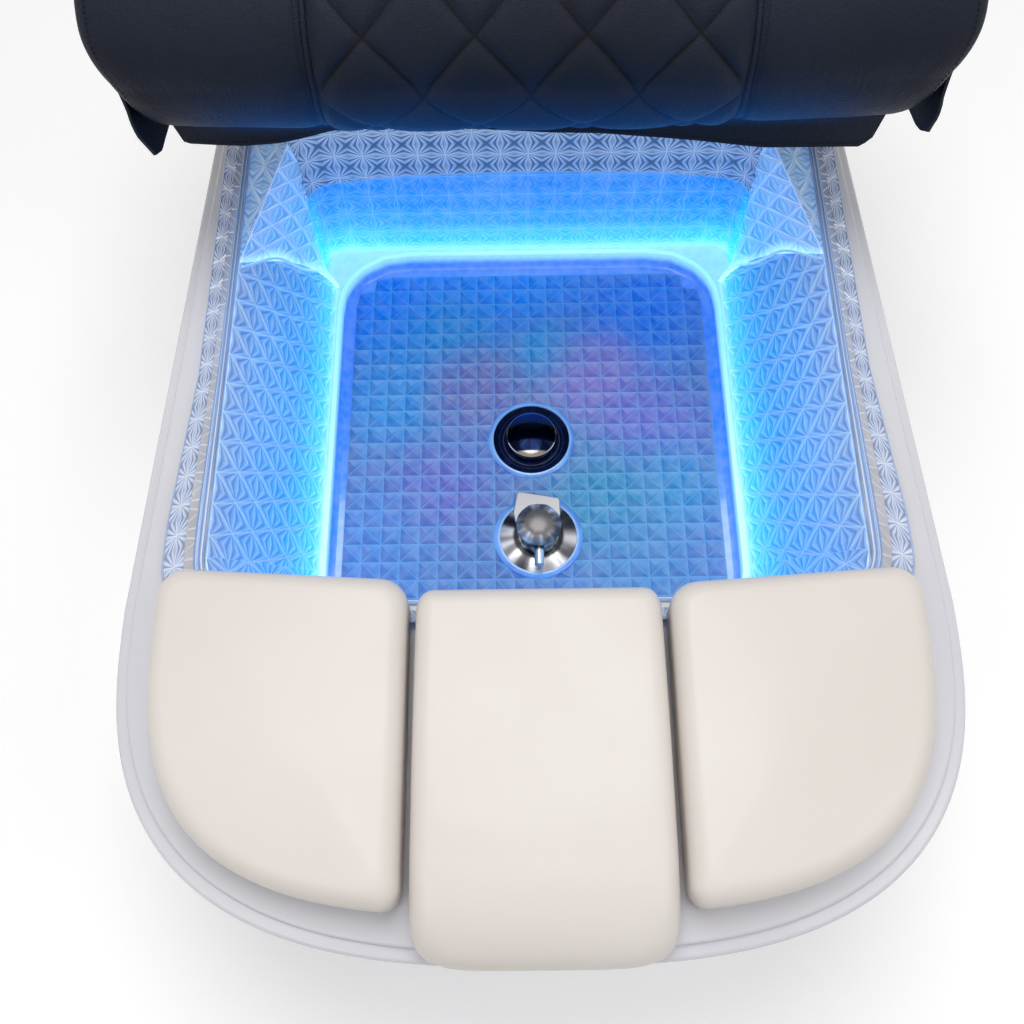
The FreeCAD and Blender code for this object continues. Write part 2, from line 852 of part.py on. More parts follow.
def make_waste_pipe():
    throat = drain_bore_radius - drain_tail_wall - drain_throat_clearance
    top = drain_nut_bottom
    cup = upright(drain_bore_radius, 0, drain_y, waste_cup_bottom, top)
    stub_start = panel_face + panel_thickness
    end = stub_start + waste_stub_length
    run = along_y(waste_radius, 0, waste_height, drain_y, stub_start)
    body = cup.fuse(run).fuse(along_y(waste_stub_radius, 0, waste_height, drain_y, end))
    body = body.cut(upright(throat, 0, drain_y, waste_cup_bottom + waste_wall, top))
    body = body.cut(along_y(waste_radius - waste_wall, 0, waste_height, drain_y, end))
    save("waste_pipe", body.removeSplitter())


# Filler
def make_filler():
    x, y = filler_x, filler_y
    plate_top = floor_top + filler_plate_edge + filler_plate_dome
    plate = dome(filler_plate_radius, x, y, floor_top, filler_plate_edge, filler_plate_dome)
    body_bottom = floor_top
    body_top = plate_top + filler_body_height
    plate = plate.cut(upright(filler_body_radius, x, y, body_bottom - cut_overrun, plate_top + cut_overrun))
    save("filler_plate", plate)

    shank_radius = filler_bore_radius - filler_shank_clearance
    shank_bottom = floor_top - filler_shank_length
    body = upright(filler_body_radius, x, y, body_bottom, body_top)
    body = body.fuse(upright(shank_radius, x, y, shank_bottom, body_bottom))
    pin_hole = knob_pin_radius + running_clearance
    hole_bottom = body_top - knob_pin_depth - knob_gap
    body = body.cut(upright(pin_hole, x, y, hole_bottom, body_top + cut_overrun))
    save("filler_body", body.removeSplitter())

    spout_bottom = plate_top + spout_height - spout_thickness
    half = spout_width / 2
    spout = box(x - half, x + half, y, y + spout_reach, spout_bottom, spout_bottom + spout_thickness)
    tips = [edge for edge in spout.Edges if is_upright(edge) and edge.CenterOfMass.y > y + spout_reach / 2]
    spout = spout.makeFillet(spout_round, tips)
    spout = spout.cut(
        upright(filler_body_radius, x, y, spout_bottom - cut_overrun, spout_bottom + spout_thickness + cut_overrun)
    )
    save("filler_spout", spout)

    knob_bottom = body_top + knob_gap
    knob = dome(knob_radius, x, y, knob_bottom, knob_edge, knob_dome)
    pin = upright(knob_pin_radius, x, y, knob_bottom - knob_pin_depth, knob_bottom + knob_edge / 2)
    lever = along_y(lever_radius, x, knob_bottom + lever_rise, y - lever_end, y - lever_start)
    tip = Part.makeSphere(lever_radius, Vector(x, y - lever_end, knob_bottom + lever_rise))
    save("filler_knob", merged([knob, pin, lever, tip]))

    seal_bottom = floor_under - seal_ring_thickness
    seal_outer = filler_bore_radius + seal_ring_width
    save("filler_gasket", upright_ring(seal_outer, filler_bore_radius, x, y, seal_bottom, floor_under))
    nut_bottom = seal_bottom - filler_nut_height
    outer = hexagon(filler_nut_radius, x, y, nut_bottom, filler_nut_height)
    save("filler_nut", outer.cut(upright(shank_radius, x, y, nut_bottom - cut_overrun, seal_bottom + cut_overrun)))


def is_upright(edge):
    first, last = edge.Vertexes[0].Point, edge.Vertexes[-1].Point
    return abs(first.x - last.x) < seat_gap and abs(first.y - last.y) < seat_gap


def tube_along(points, bend_radius, radius):
    # Straight runs joined by tangent arcs
    edges = []
    start = points[0]
    for i in range(1, len(points) - 1):
        before = (points[i - 1] - points[i]).normalize()
        after = (points[i + 1] - points[i]).normalize()
        half_turn = before.getAngle(after) / 2
        back = bend_radius / math.tan(half_turn)
        bisector = (before + after).normalize()
        to_arc = bend_radius / math.sin(half_turn) - bend_radius
        first = points[i] + before * back
        last = points[i] + after * back
        edges.append(line(start, first))
        edges.append(arc(first, points[i] + bisector * to_arc, last))
        start = last
    edges.append(line(start, points[-1]))
    path = Part.Wire(edges)
    direction = points[1] - points[0]
    profile = Part.Wire([Part.Circle(points[0], direction, radius).toShape()])
    tube = path.makePipeShell([profile], True, False)
    return tube if tube.Volume > 0 else tube.reversed()


def make_supply():
    bottom = floor_top - filler_shank_length
    stub_end = panel_face - skirt_wall - inlet_nut_length
    names = {"hot_supply_pipe": 1, "cold_supply_pipe": -1}
    for name, side in names.items():
        start_x = filler_x + side * (filler_bore_radius - filler_shank_clearance - supply_radius)
        points = [
            Vector(start_x, filler_y, bottom),
            Vector(start_x, filler_y, supply_height),
            Vector(side * inlet_x, filler_y + supply_splay_length, supply_height),
            Vector(side * inlet_x, stub_end, supply_height),
        ]
        save(name, tube_along(points, supply_bend_radius, supply_radius))


# Rear service panel with its fittings
def panel_screw_places():
    x = panel_half_width - panel_screw_inset
    low = panel_bottom + panel_screw_inset
    high = panel_bottom + panel_height - panel_screw_inset
    return [(side * x, z) for side in (-1, 1) for z in (low, high)]


def upright_plate(half_width, low_z, high_z, near_y, far_y, radius):
    plate = box(-half_width, half_width, near_y, far_y, low_z, high_z)
    corners = [edge for edge in plate.Edges if abs(edge.Length - (far_y - near_y)) < seat_gap]
    return plate.makeFillet(radius, corners)


def make_service_panel():
    far = panel_face + panel_thickness
    plate = upright_plate(
        panel_half_width, panel_bottom, panel_bottom + panel_height, panel_face, far, panel_radius
    )
    plate = plate.cut(along_y(waste_radius, 0, waste_height, panel_face - cut_overrun, far + cut_overrun))
    inlet_z = supply_height
    for side in (-1, 1):
        hole = along_y(inlet_thread_radius, side * inlet_x, inlet_z, panel_face - cut_overrun, far + cut_overrun)
        plate = plate.cut(hole)
    socket = box(
        power_inlet_x - power_inlet_width / 2,
        power_inlet_x + power_inlet_width / 2,
        panel_face - cut_overrun,
        far + cut_overrun,
        power_inlet_z - power_inlet_height / 2,
        power_inlet_z + power_inlet_height / 2,
    )
    plate = plate.cut(socket)
    for x, z in panel_screw_places():
        plate = plate.cut(along_y(panel_screw_radius, x, z, panel_face - cut_overrun, far + cut_overrun))
    save("rear_service_panel", plate)

    screws = []
    for x, z in panel_screw_places():
        shank = along_y(panel_screw_radius, x, z, panel_face - skirt_wall - panel_screw_grip, far)
        screws.append(shank.fuse(along_y(panel_screw_head_radius, x, z, far, far + panel_screw_head_height)))
    save("panel_screws", screws)

    fittings = []
    for side in (-1, 1):
        x = side * inlet_x
        inner = panel_face - skirt_wall - inlet_nut_length
        thread = along_y(inlet_thread_radius, x, inlet_z, inner, far + inlet_length)
        nut = along_y(inlet_nut_radius, x, inlet_z, far, far + inlet_nut_length)
        bore = along_y(supply_radius, x, inlet_z, inner - cut_overrun, far + inlet_length + cut_overrun)
        fittings.append(thread.fuse(nut).cut(bore).removeSplitter())
    save("water_inlet_left", fittings[1])
    save("water_inlet_right", fittings[0])

    half_width = power_inlet_width / 2
    half_height = power_inlet_height / 2
    margin = power_flange_margin
    flange = box(
        power_inlet_x - half_width - margin,
        power_inlet_x + half_width + margin,
        far,
        far + power_flange_thickness,
        power_inlet_z - half_height - margin,
        power_inlet_z + half_height + margin,
    )
    core = box(
        power_inlet_x - half_width,
        power_inlet_x + half_width,
        far - power_inlet_depth,
        far,
        power_inlet_z - half_height,
        power_inlet_z + half_height,
    )
    socket_end = far + power_flange_thickness
    cavity = box(
        power_inlet_x - half_width + power_socket_margin,
        power_inlet_x + half_width - power_socket_margin,
        socket_end - power_socket_depth,
        socket_end + cut_overrun,
        power_inlet_z - half_height + power_socket_margin,
        power_inlet_z + half_height - power_socket_margin,
    )
    body = flange.fuse(core).cut(cavity)
    blades = [
        box(
            x - power_blade_thickness / 2,
            x + power_blade_thickness / 2,
            socket_end - power_socket_depth,
            socket_end - power_socket_depth + power_blade_length,
            power_inlet_z - power_blade_width / 2,
            power_inlet_z + power_blade_width / 2,
        )
        for x in (power_inlet_x - power_blade_spread, power_inlet_x, power_inlet_x + power_blade_spread)
    ]
    save("power_inlet", body.fuse(blades).removeSplitter())


# Footrest pads
def mirrored_places(places):
    return [(-x, y) for x, y in places]


def peg_places():
    return [(peg_inner_x, peg_rear_y), (peg_inner_x, peg_front_y), (peg_outer_x, peg_rear_y)]


def side_pad_outline(inset, z, rear_inset=0.0):
    # The right-hand pad seen from above: straight inner and rear edges, and the shell's own round
    inner = centre_pad_half_width + pad_gap + inset
    half_width = shell_half_width - side_pad_lip_inset - inset
    reach = front_curve_length - side_pad_front_inset - inset
    rear = pad_rear - inset - rear_inset
    outer_rear = rear + side_pad_rear_skew
    corner = max(pad_corner_radius - inset / 2, ledge_round)
    front_corner = max(pad_front_corner_radius - inset / 2, ledge_round)
    half_power = front_curve_power / 2
    start_rise = max(0.0, front_curve_start - outer_rear + corner) / reach
    start_share = math.asin(start_rise ** half_power) / (math.pi / 2)
    end_share = math.acos(((inner + front_corner) / half_width) ** half_power) / (math.pi / 2)
    count = 2 * pad_arcs
    shares = [start_share + (end_share - start_share) * i / count for i in range(count + 1)]
    round_points = [full_curve_point(half_width, front_curve_start, reach, share, z) for share in shares]
    start = round_points[0]
    nose = round_points[-1]
    diagonal = math.sqrt(0.5)
    inner_front = Vector(inner, nose.y + front_corner, z)
    front_middle = Vector(
        inner + front_corner * (1 - diagonal), nose.y + front_corner * (1 - diagonal), z
    )
    slope = side_pad_rear_skew / (half_width - inner)
    inner_rear = Vector(inner + corner, rear + slope * corner, z)
    rear_middle = Vector(inner + corner * (1 - diagonal), rear - corner * (1 - diagonal), z)
    inner_side = Vector(inner, rear - corner, z)
    outer_corner = Vector(half_width - corner, outer_rear - slope * corner, z)
    outer_middle = Vector(
        half_width - corner * (1 - diagonal), outer_rear - corner * (1 - diagonal) - slope * corner / 2, z
    )
    edges = curve_arcs(round_points)
    edges.append(arc(nose, front_middle, inner_front))
    edges.append(line(inner_front, inner_side))
    edges.append(arc(inner_side, rear_middle, inner_rear))
    edges.append(line(inner_rear, outer_corner))
    edges.append(arc(outer_corner, outer_middle, start))
    return Part.Wire(edges)


def pad_levels():
    # Height and inset of each section of a pad, from its underside to its crown
    shoulder_z = pad_top - pad_crown
    rise_shares = (0.0, 0.38, 0.71, 0.92, 1.0)
    inset_shares = (0.0, 0.08, 0.3, 0.62, 1.0)
    levels = [(pad_bottom, ledge_round), (shoulder_z - pad_shoulder - ledge_round, 0.0)]
    for rise_share, inset_share in zip(rise_shares, inset_shares):
        levels.append((shoulder_z - pad_shoulder * (1 - rise_share), pad_shoulder * inset_share))
    levels.append((pad_top, pad_shoulder + pad_corner_radius * 2))
    return levels


def make_side_pads():
    right = ruled([side_pad_outline(inset, z) for z, inset in pad_levels()])
    save("footrest_pad_right", right)
    save("footrest_pad_left", mirrored(right))
    rear_inset = pad_rear - (rim_front - band_front_depth) + side_pad_rear_skew + seat_gap
    board = prism(side_pad_outline(pad_board_inset, board_bottom, rear_inset), pad_board_thickness)
    save("pad_board_right", board)
    save("pad_board_left", mirrored(board))
    peg_bottom = board_bottom - peg_length
    pegs = [upright(peg_radius, x, y, peg_bottom, board_bottom) for x, y in peg_places()]
    save("pad_pegs_right", pegs)
    save("pad_pegs_left", [mirrored(peg) for peg in pegs])
    bore = peg_radius + running_clearance
    grommets = []
    for x, y in peg_places() + mirrored_places(peg_places()):
        body = upright(bore + grommet_wall, x, y, deck_top - grommet_depth, deck_top)
        flange = upright(grommet_flange_radius, x, y, deck_top, deck_top + grommet_flange_thickness)
        ring = body.fuse(flange)
        low = deck_top - grommet_depth - cut_overrun
        high = deck_top + grommet_flange_thickness + cut_overrun
        grommets.append(ring.cut(upright(bore, x, y, low, high)).removeSplitter())
    save("deck_grommets", grommets)


def centre_pad_section(x, draw, nose_inset):
    # A section across the pad: flat seat, round rear edge and a long falling nose at the front
    bottom = pad_bottom
    rear = pad_rear - draw
    front = front_end + nose_inset
    top = pad_top - pad_crown - draw
    radius = pad_shoulder
    nose_start = front + centre_pad_nose_length
    nose_low = bottom + centre_pad_nose_foot
    hem = front + centre_pad_hem
    diagonal = math.sqrt(0.5)
    reach = nose_start - front
    fall = top - nose_low
    points = {
        "rear_low": Vector(x, rear, bottom),
        "rear_high": Vector(x, rear, top - radius),
        "rear_middle": Vector(x, rear - radius * (1 - diagonal), top - radius * (1 - diagonal)),
        "top_rear": Vector(x, rear - radius, top),
        "top_middle": Vector(x, (rear - radius + nose_start) / 2, top + pad_crown),
        "top_front": Vector(x, nose_start, top),
        "nose_middle": Vector(x, nose_start - reach * diagonal, nose_low + fall * diagonal),
        "nose_low": Vector(x, front, nose_low),
        "hem_low": Vector(x, front + ledge_round, board_bottom + seat_gap),
        "hem_end": Vector(x, hem, board_bottom + seat_gap),
        "hem_top": Vector(x, hem, bottom),
    }
    return Part.Wire([
        line(points["rear_low"], points["rear_high"]),
        arc(points["rear_high"], points["rear_middle"], points["top_rear"]),
        arc(points["top_rear"], points["top_middle"], points["top_front"]),
        arc(points["top_front"], points["nose_middle"], points["nose_low"]),
        line(points["nose_low"], points["hem_low"]),
        line(points["hem_low"], points["hem_end"]),
        line(points["hem_end"], points["hem_top"]),
        line(points["hem_top"], points["rear_low"]),
    ])


def make_centre_pad():
    half = centre_pad_half_width
    front_round = centre_pad_front_round
    place_shares = (0.0, 0.03, 0.1, 0.24, 0.42)
    draw_shares = (1.0, 0.6, 0.3, 0.08, 0.0)
    nose_shares = (1.0, 0.66, 0.36, 0.1, 0.0)
    side = [
        (half * (1 - place), centre_pad_side_draw * draw, front_round * nose)
        for place, draw, nose in zip(place_shares, draw_shares, nose_shares)
    ]
    places = [(-x, draw, nose) for x, draw, nose in side] + list(reversed(side))
    save("footrest_pad_centre", ruled([centre_pad_section(*place) for place in places]))
    board_half = half - pad_board_inset
    rear = rim_front - band_front_depth - seat_gap
    front = front_end + centre_pad_hem + centre_pad_front_round + seat_gap
    board = prism(
        rounded_outline(board_half, front, rear, pad_front_corner_radius, pad_board_inset, board_bottom),
        pad_board_thickness,
    )
    save("pad_board_centre", board)
    tie_bottom = tie_top - tie_bar_height
    posts = [upright(post_radius, x, post_y, tie_bottom, board_bottom) for x in (-post_spread, post_spread)]
    save("footrest_posts", posts)
    reach = post_spread + tie_bar_width / 2
    half_bar = tie_bar_width / 2
    tie = box(-reach, reach, post_y - half_bar, post_y + half_bar, tie_bottom, tie_top)
    for x in (-post_spread, post_spread):
        tie = tie.cut(upright(post_radius, x, post_y, tie_bottom - cut_overrun, tie_top + cut_overrun))
    save("footrest_tie_bar", tie)
    sleeves = []
    bore = post_radius + running_clearance
    for x in (-post_spread, post_spread):
        body = upright(bore + sleeve_wall, x, post_y, sleeve_bottom, deck_top)
        flange = upright(sleeve_flange_radius, x, post_y, deck_top, deck_top + grommet_flange_thickness)
        high = deck_top + grommet_flange_thickness + cut_overrun
        sleeve = body.fuse(flange).cut(upright(bore, x, post_y, sleeve_bottom - cut_overrun, high))
        sleeves.append(sleeve.removeSplitter())
    save("footrest_sleeves", sleeves)


# Seat
def make_pedestal():
    def outline(inset, z):
        radius = pedestal_radius - inset
        return rounded_outline(
            pedestal_half_width - inset, pedestal_front + inset, pedestal_rear - inset, radius, radius, z
        )

    outer = prism(outline(0, deck_top), pedestal_height)
    inner = prism(outline(pedestal_wall, deck_top), pedestal_height - pedestal_wall)
    body = outer.cut(inner)
    for x, y in beam_bolt_places():
        body = body.cut(
            upright(beam_bolt_radius, x, y, pedestal_top - pedestal_wall - cut_overrun, pedestal_top + cut_overrun)
        )
    save("seat_pedestal", body)


def beam_bolt_places():
    middle = (pedestal_front + pedestal_rear) / 2
    offset = (pedestal_rear - pedestal_front) / 2 - beam_bolt_inset
    return [(side * beam_centre_x, middle + way * offset) for side in (-1, 1) for way in (-1, 1)]


def make_beams_and_rails():
    half = beam_width / 2
    beams = []
    channels = []
    bars = []
    bolts = []
    bar_half = half - rail_channel_wall - rail_bar_clearance
    rear = pedestal_rear
    hollow = half - tube_wall
    for side in (-1, 1):
        x = side * beam_centre_x
        beam = box(x - half, x + half, beam_front, rear, pedestal_top, beam_top)
        bore = box(
            x - hollow,
            x + hollow,
            beam_front,
            rear,
            pedestal_top + tube_wall,
            beam_top - tube_wall,
        )
        beam = beam.cut(bore)
        for bolt_x, bolt_y in beam_bolt_places():
            beam = beam.cut(upright(beam_bolt_radius, bolt_x, bolt_y, pedestal_top, pedestal_top + tube_wall))
        beams.append(beam)
        channel = box(x - half, x + half, beam_front, rear, beam_top, beam_top + rail_channel_height)
        inside = half - rail_channel_wall
        groove = box(
            x - inside,
            x + inside,
            beam_front,
            rear - rail_channel_wall,
            beam_top + rail_channel_floor,
            beam_top + rail_channel_height,
        )
        channels.append(channel.cut(groove))
        bar_rear = rear - rail_channel_wall - rail_end_gap
        bars.append(
            box(
                x - bar_half,
                x + bar_half,
                beam_front + rail_end_gap,
                bar_rear,
                rail_bar_bottom,
                seat_board_bottom,
            )
        )
    for x, y in beam_bolt_places():
        low = pedestal_top - pedestal_wall
        shank = upright(beam_bolt_radius, x, y, low, pedestal_top + tube_wall)
        head = upright(beam_bolt_head_radius, x, y, low - beam_bolt_head_height, low)
        bolts.append(shank.fuse(head))
    save("seat_beams", beams)
    save("seat_rail_channels", channels)
    save("seat_slide_bars", bars)
    save("beam_bolts", bolts)


def make_seat_board():
    rear = rear_end - seat_board_rear_inset
    radius = seat_board_radius
    outline = rounded_outline(seat_board_half_width, seat_board_front, rear, radius, radius, seat_board_bottom)
    save("seat_board", prism(outline, seat_board_thickness))


def seat_section(x, draw, depth=0.0):
    # A section of the seat cushion: flat base on the board, round rear edge and a full roll at the front
    radius = seat_roll_radius - draw - depth
    low_front = seat_roll_centre_z - radius
    board_edge = seat_board_front - seat_board_clearance
    base = seat_board_top + seat_gap
    rear = rear_end - draw - depth
    top = seat_roll_centre_z + radius
    rear_radius = seat_rear_round
    diagonal = math.sqrt(0.5)
    centre_y, centre_z = seat_roll_centre_y, seat_roll_centre_z
    bottom_middle = Vector(x, centre_y - radius * diagonal, centre_z - radius * diagonal)
    top_middle = Vector(x, centre_y - radius * diagonal, centre_z + radius * diagonal)
    rear_middle = Vector(
        x, rear - rear_radius * (1 - diagonal), top - rear_radius * (1 - diagonal)
    )
    crown = seat_crown if draw < seat_seam_draw / 2 else seat_gap
    top_rise = Vector(x, (centre_y + rear - rear_radius) / 2, top + crown)
    return Part.Wire([
        line(Vector(x, board_edge, base), Vector(x, board_edge, low_front)),
        line(Vector(x, board_edge, low_front), Vector(x, centre_y, low_front)),
        arc(Vector(x, centre_y, low_front), bottom_middle, Vector(x, centre_y - radius, centre_z)),
        arc(Vector(x, centre_y - radius, centre_z), top_middle, Vector(x, centre_y, top)),
        arc(Vector(x, centre_y, top), top_rise, Vector(x, rear - rear_radius, top)),
        arc(Vector(x, rear - rear_radius, top), rear_middle, Vector(x, rear, top - rear_radius)),
        line(Vector(x, rear, top - rear_radius), Vector(x, rear, base)),
        line(Vector(x, rear, base), Vector(x, board_edge, base)),
    ])


def cushion_between(low_x, high_x, low_draw, high_draw, depth=0.0):
    width = high_x - low_x
    place_shares = (0.0, 0.03, 0.09, 0.2, 0.5, 0.8, 0.91, 0.97, 1.0)
    draw_shares = (1.0, 0.6, 0.28, 0.08, 0.0, 0.08, 0.28, 0.6, 1.0)
    sections = []
    for place, draw in zip(place_shares, draw_shares):
        size = low_draw if place < middle_share else high_draw
        sections.append(seat_section(low_x + width * place, size * draw, depth))
    return ruled(sections)


def quilt_sheet(half_width, side, lean_y, lean_z, base_y, base_z, base_x, low_y, high_y, low_z, high_z):
    # Parallel slanted sheets, one for each sewn line that leans to one side
    sheets = []

    def line_x(y, z):
        return base_x + lean_y * (y - base_y) + lean_z * (z - base_z)

    corners = [(low_y, low_z), (high_y, low_z), (high_y, high_z), (low_y, high_z)]
    offsets = [side * line_x(y, z) for y, z in corners]
    first = math.floor((-half_width - max(offsets)) / quilt_pitch)
    last = math.ceil((half_width - min(offsets)) / quilt_pitch)
    for i in range(first, last + 1):
        start = i * quilt_pitch - quilt_groove_width / 2
        points = [Vector(start + side * line_x(y, z), y, z) for y, z in corners]
        face = Part.Face(Part.makePolygon(points + [points[0]]))
        sheets.append(face.extrude(Vector(quilt_groove_width, 0, 0)))
    return sheets


def quilted(cushion, core, half_width):
    # Sewn lines: grooves that go down to the core, kept clear of the panel's own edges
    fold_y = seat_roll_centre_y - seat_roll_radius * math.sqrt(middle_share)
    fold_z = seat_roll_centre_z + seat_roll_radius * math.sqrt(middle_share)
    fold_x = quilt_front_lean_y * (fold_y - quilt_row_y) + quilt_front_lean_z * (fold_z - quilt_row_z)
    front_y = seat_roll_front - cut_overrun
    low_z = quilt_low_z
    top_z = seat_top + seat_crown + cut_overrun
    rear_y = rear_end - quilt_rear_inset
    grooves = []
    for side in (-1, 1):
        front = quilt_sheet(
            half_width, side, quilt_front_lean_y, quilt_front_lean_z,
            quilt_row_y, quilt_row_z, 0.0, front_y, seat_roll_centre_y, low_z, fold_z,
        )
        top = quilt_sheet(
            half_width, side, -quilt_top_lean_y, -quilt_top_lean_z,
            fold_y, fold_z, fold_x, front_y, rear_y, fold_z, top_z,
        )
        grooves += front + top
    panel_half = half_width - quilt_edge_inset
    panel = box(-panel_half, panel_half, front_y, rear_y, low_z, top_z)
    layer = cushion.common(panel).cut(core)
    return cushion.cut(Part.makeCompound([sheet.common(layer) for sheet in grooves]))


def make_cushions():
    seam = seat_seam_gap / 2
    inner = seat_centre_half_width - seam
    outer = seat_centre_half_width + seam
    centre = cushion_between(-inner, inner, seat_seam_draw, seat_seam_draw)
    core = cushion_between(-inner, inner, seat_seam_draw, seat_seam_draw, quilt_groove_depth)
    save("seat_cushion_centre", quilted(centre, core, inner))
    right = cushion_between(outer, seat_half_width, seat_seam_draw, seat_end_draw)
    save("seat_bolster_right", right)
    save("seat_bolster_left", mirrored(right))


def make_flaps():
    low_x = seat_half_width + seat_gap
    rear = rear_end - flap_rear_inset
    points = [
        Vector(low_x, flap_front, flap_top),
        Vector(low_x, rear, flap_top),
        Vector(low_x, rear, flap_bottom),
        Vector(low_x, flap_front + ear_length, flap_bottom),
        Vector(low_x, flap_front - ear_lead + ear_length / 2, flap_bottom - ear_drop),
        Vector(low_x, flap_front - ear_lead, flap_bottom + ear_lead),
    ]
    face = Part.Face(Part.makePolygon(points + [points[0]]))
    flap = face.extrude(Vector(flap_thickness, 0, 0))
    save("seat_side_flap_right", flap)
    save("seat_side_flap_left", mirrored(flap))
    top = seat_bottom - seat_gap
    half = valance_half_width
    edges = [
        line(Vector(half, valance_y, valance_bottom), Vector(half, valance_y, top)),
        line(Vector(half, valance_y, top), Vector(-half, valance_y, top)),
        line(Vector(-half, valance_y, top), Vector(-half, valance_y, valance_bottom)),
        arc(
            Vector(-half, valance_y, valance_bottom),
            Vector(0, valance_y, valance_bottom + valance_rise),
            Vector(half, valance_y, valance_bottom),
        ),
    ]
    face = Part.Face(Part.Wire(edges))
    save("front_valance", face.extrude(Vector(0, valance_thickness, 0)))


# Latch of the seat slide
def make_latch():
    pivot_z = seat_board_bottom - latch_drop
    half_length = latch_plate_length / 2
    half_arm = latch_arm_width / 2
    ear_start = half_arm + latch_ear_gap
    ears = []
    for side in (-1, 1):
        low = min(side * ear_start, side * (ear_start + latch_plate_thickness))
        ear = box(
            latch_x - half_length / 2,
            latch_x + half_length / 2,
            latch_y + low,
            latch_y + low + latch_plate_thickness,
            pivot_z - latch_boss_radius,
            seat_board_bottom,
        )
        ears.append(ear)
    reach = ear_start + latch_plate_thickness
    plate = box(
        latch_x - half_length,
        latch_x + half_length,
        latch_y - reach,
        latch_y + reach,
        seat_board_bottom - rail_channel_floor,
        seat_board_bottom,
    )
    pin = along_y(latch_pin_radius, latch_x, pivot_z, latch_y - reach, latch_y + reach)
    save("seat_latch_bracket", merged([plate] + ears + [pin]))
    bore = along_y(
        latch_pin_radius + running_clearance, latch_x, pivot_z, latch_y - half_arm, latch_y + half_arm
    )
    boss = along_y(latch_boss_radius, latch_x, pivot_z, latch_y - half_arm, latch_y + half_arm)
    arm = box(
        latch_x - latch_shoe_reach,
        latch_x + latch_arm_reach,
        latch_y - half_arm,
        latch_y + half_arm,
        pivot_z - latch_arm_thickness / 2,
        pivot_z + latch_arm_thickness / 2,
    )
    save("seat_latch_lever", boss.fuse(arm).cut(bore).removeSplitter())
    shoe_top = pivot_z - latch_arm_thickness / 2
    shoe_x = latch_x - latch_shoe_reach
    shoe = box(
        shoe_x,
        shoe_x + latch_shoe_length,
        latch_y - half_arm,
        latch_y + half_arm,
        shoe_top - latch_shoe_height,
        shoe_top,
    )
    save("seat_latch_shoe", shoe)
    strip_x = beam_centre_x + beam_width / 2
    strip_top = shoe_top - latch_shoe_height - seat_gap
    strip_rear = latch_y + half_arm + brake_strip_margin
    strip = box(
        strip_x,
        strip_x + brake_strip_width,
        beam_front,
        strip_rear,
        strip_top - brake_strip_thickness,
        strip_top,
    )
    web = box(
        strip_x,
        strip_x + brake_strip_thickness,
        beam_front,
        strip_rear,
        pedestal_top,
        strip_top,
    )
    save("seat_brake_strip", strip.fuse(web).removeSplitter())
    grip_x = latch_x + latch_arm_reach + latch_grip_radius
    half_grip = latch_grip_length / 2
    save("seat_latch_grip", along_y(latch_grip_radius, grip_x, pivot_z, latch_y - half_grip, latch_y + half_grip))


def main():
    os.makedirs("parts", exist_ok=True)
    make_deck_shell()
    make_base_skirt()
    make_basin_bowl()
    make_rim_band()
    make_light_strip()
    make_chassis()
    make_light_driver()
    make_drain()
    make_waste_pipe()
    make_filler()
    make_supply()
    make_service_panel()
    make_side_pads()
    make_centre_pad()
    make_pedestal()
    make_beams_and_rails()
    make_seat_board()
    make_cushions()
    make_flaps()
    make_latch()
    print(len(saved_names), "nodes")


main()
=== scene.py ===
import bpy
import bmesh
import math
from mathutils import Matrix, Vector, noise


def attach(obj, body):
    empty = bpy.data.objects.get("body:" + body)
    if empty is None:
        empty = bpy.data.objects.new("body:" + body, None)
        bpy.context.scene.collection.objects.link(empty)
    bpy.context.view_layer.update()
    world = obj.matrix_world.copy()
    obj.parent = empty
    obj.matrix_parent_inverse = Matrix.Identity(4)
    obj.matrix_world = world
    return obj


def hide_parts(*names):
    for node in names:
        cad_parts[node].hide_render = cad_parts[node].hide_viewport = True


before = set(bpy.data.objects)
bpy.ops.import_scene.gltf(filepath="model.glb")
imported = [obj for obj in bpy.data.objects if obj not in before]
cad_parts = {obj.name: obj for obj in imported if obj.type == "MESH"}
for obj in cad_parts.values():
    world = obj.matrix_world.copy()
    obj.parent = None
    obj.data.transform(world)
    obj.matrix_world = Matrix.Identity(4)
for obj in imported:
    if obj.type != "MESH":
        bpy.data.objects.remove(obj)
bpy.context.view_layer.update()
mm = 0.001
print("frame loaded")

view = {
    "place": (-15.0, -605.0, 1244.8),
    "yaw": -0.98,
    "depression": 66.08,
    "roll": -1.66,
    "lens": 38.11,
    "sensor": 36,
    "nearest": 0.01,
}


def placed(name, data):
    made = bpy.data.objects.new(name, data)
    bpy.context.scene.collection.objects.link(made)
    return made


def setCamera():
    yaw, tilt, roll = (math.radians(view[key]) for key in ("yaw", "depression", "roll"))
    ahead = Vector((math.sin(yaw) * math.cos(tilt), math.cos(yaw) * math.cos(tilt), -math.sin(tilt)))
    flatRight = Vector((math.cos(yaw), -math.sin(yaw), 0))
    flatUp = flatRight.cross(ahead)
    right = flatRight * math.cos(roll) + flatUp * math.sin(roll)
    up = flatUp * math.cos(roll) - flatRight * math.sin(roll)
    data = bpy.data.cameras.new("camera")
    data.sensor_width = view["sensor"]
    data.lens = view["lens"]
    data.clip_start = view["nearest"]
    camera = placed("camera", data)
    turn = Matrix((right, up, -ahead)).transposed().to_4x4()
    camera.matrix_world = Matrix.Translation(Vector(view["place"]) * mm) @ turn
    bpy.context.scene.camera = camera


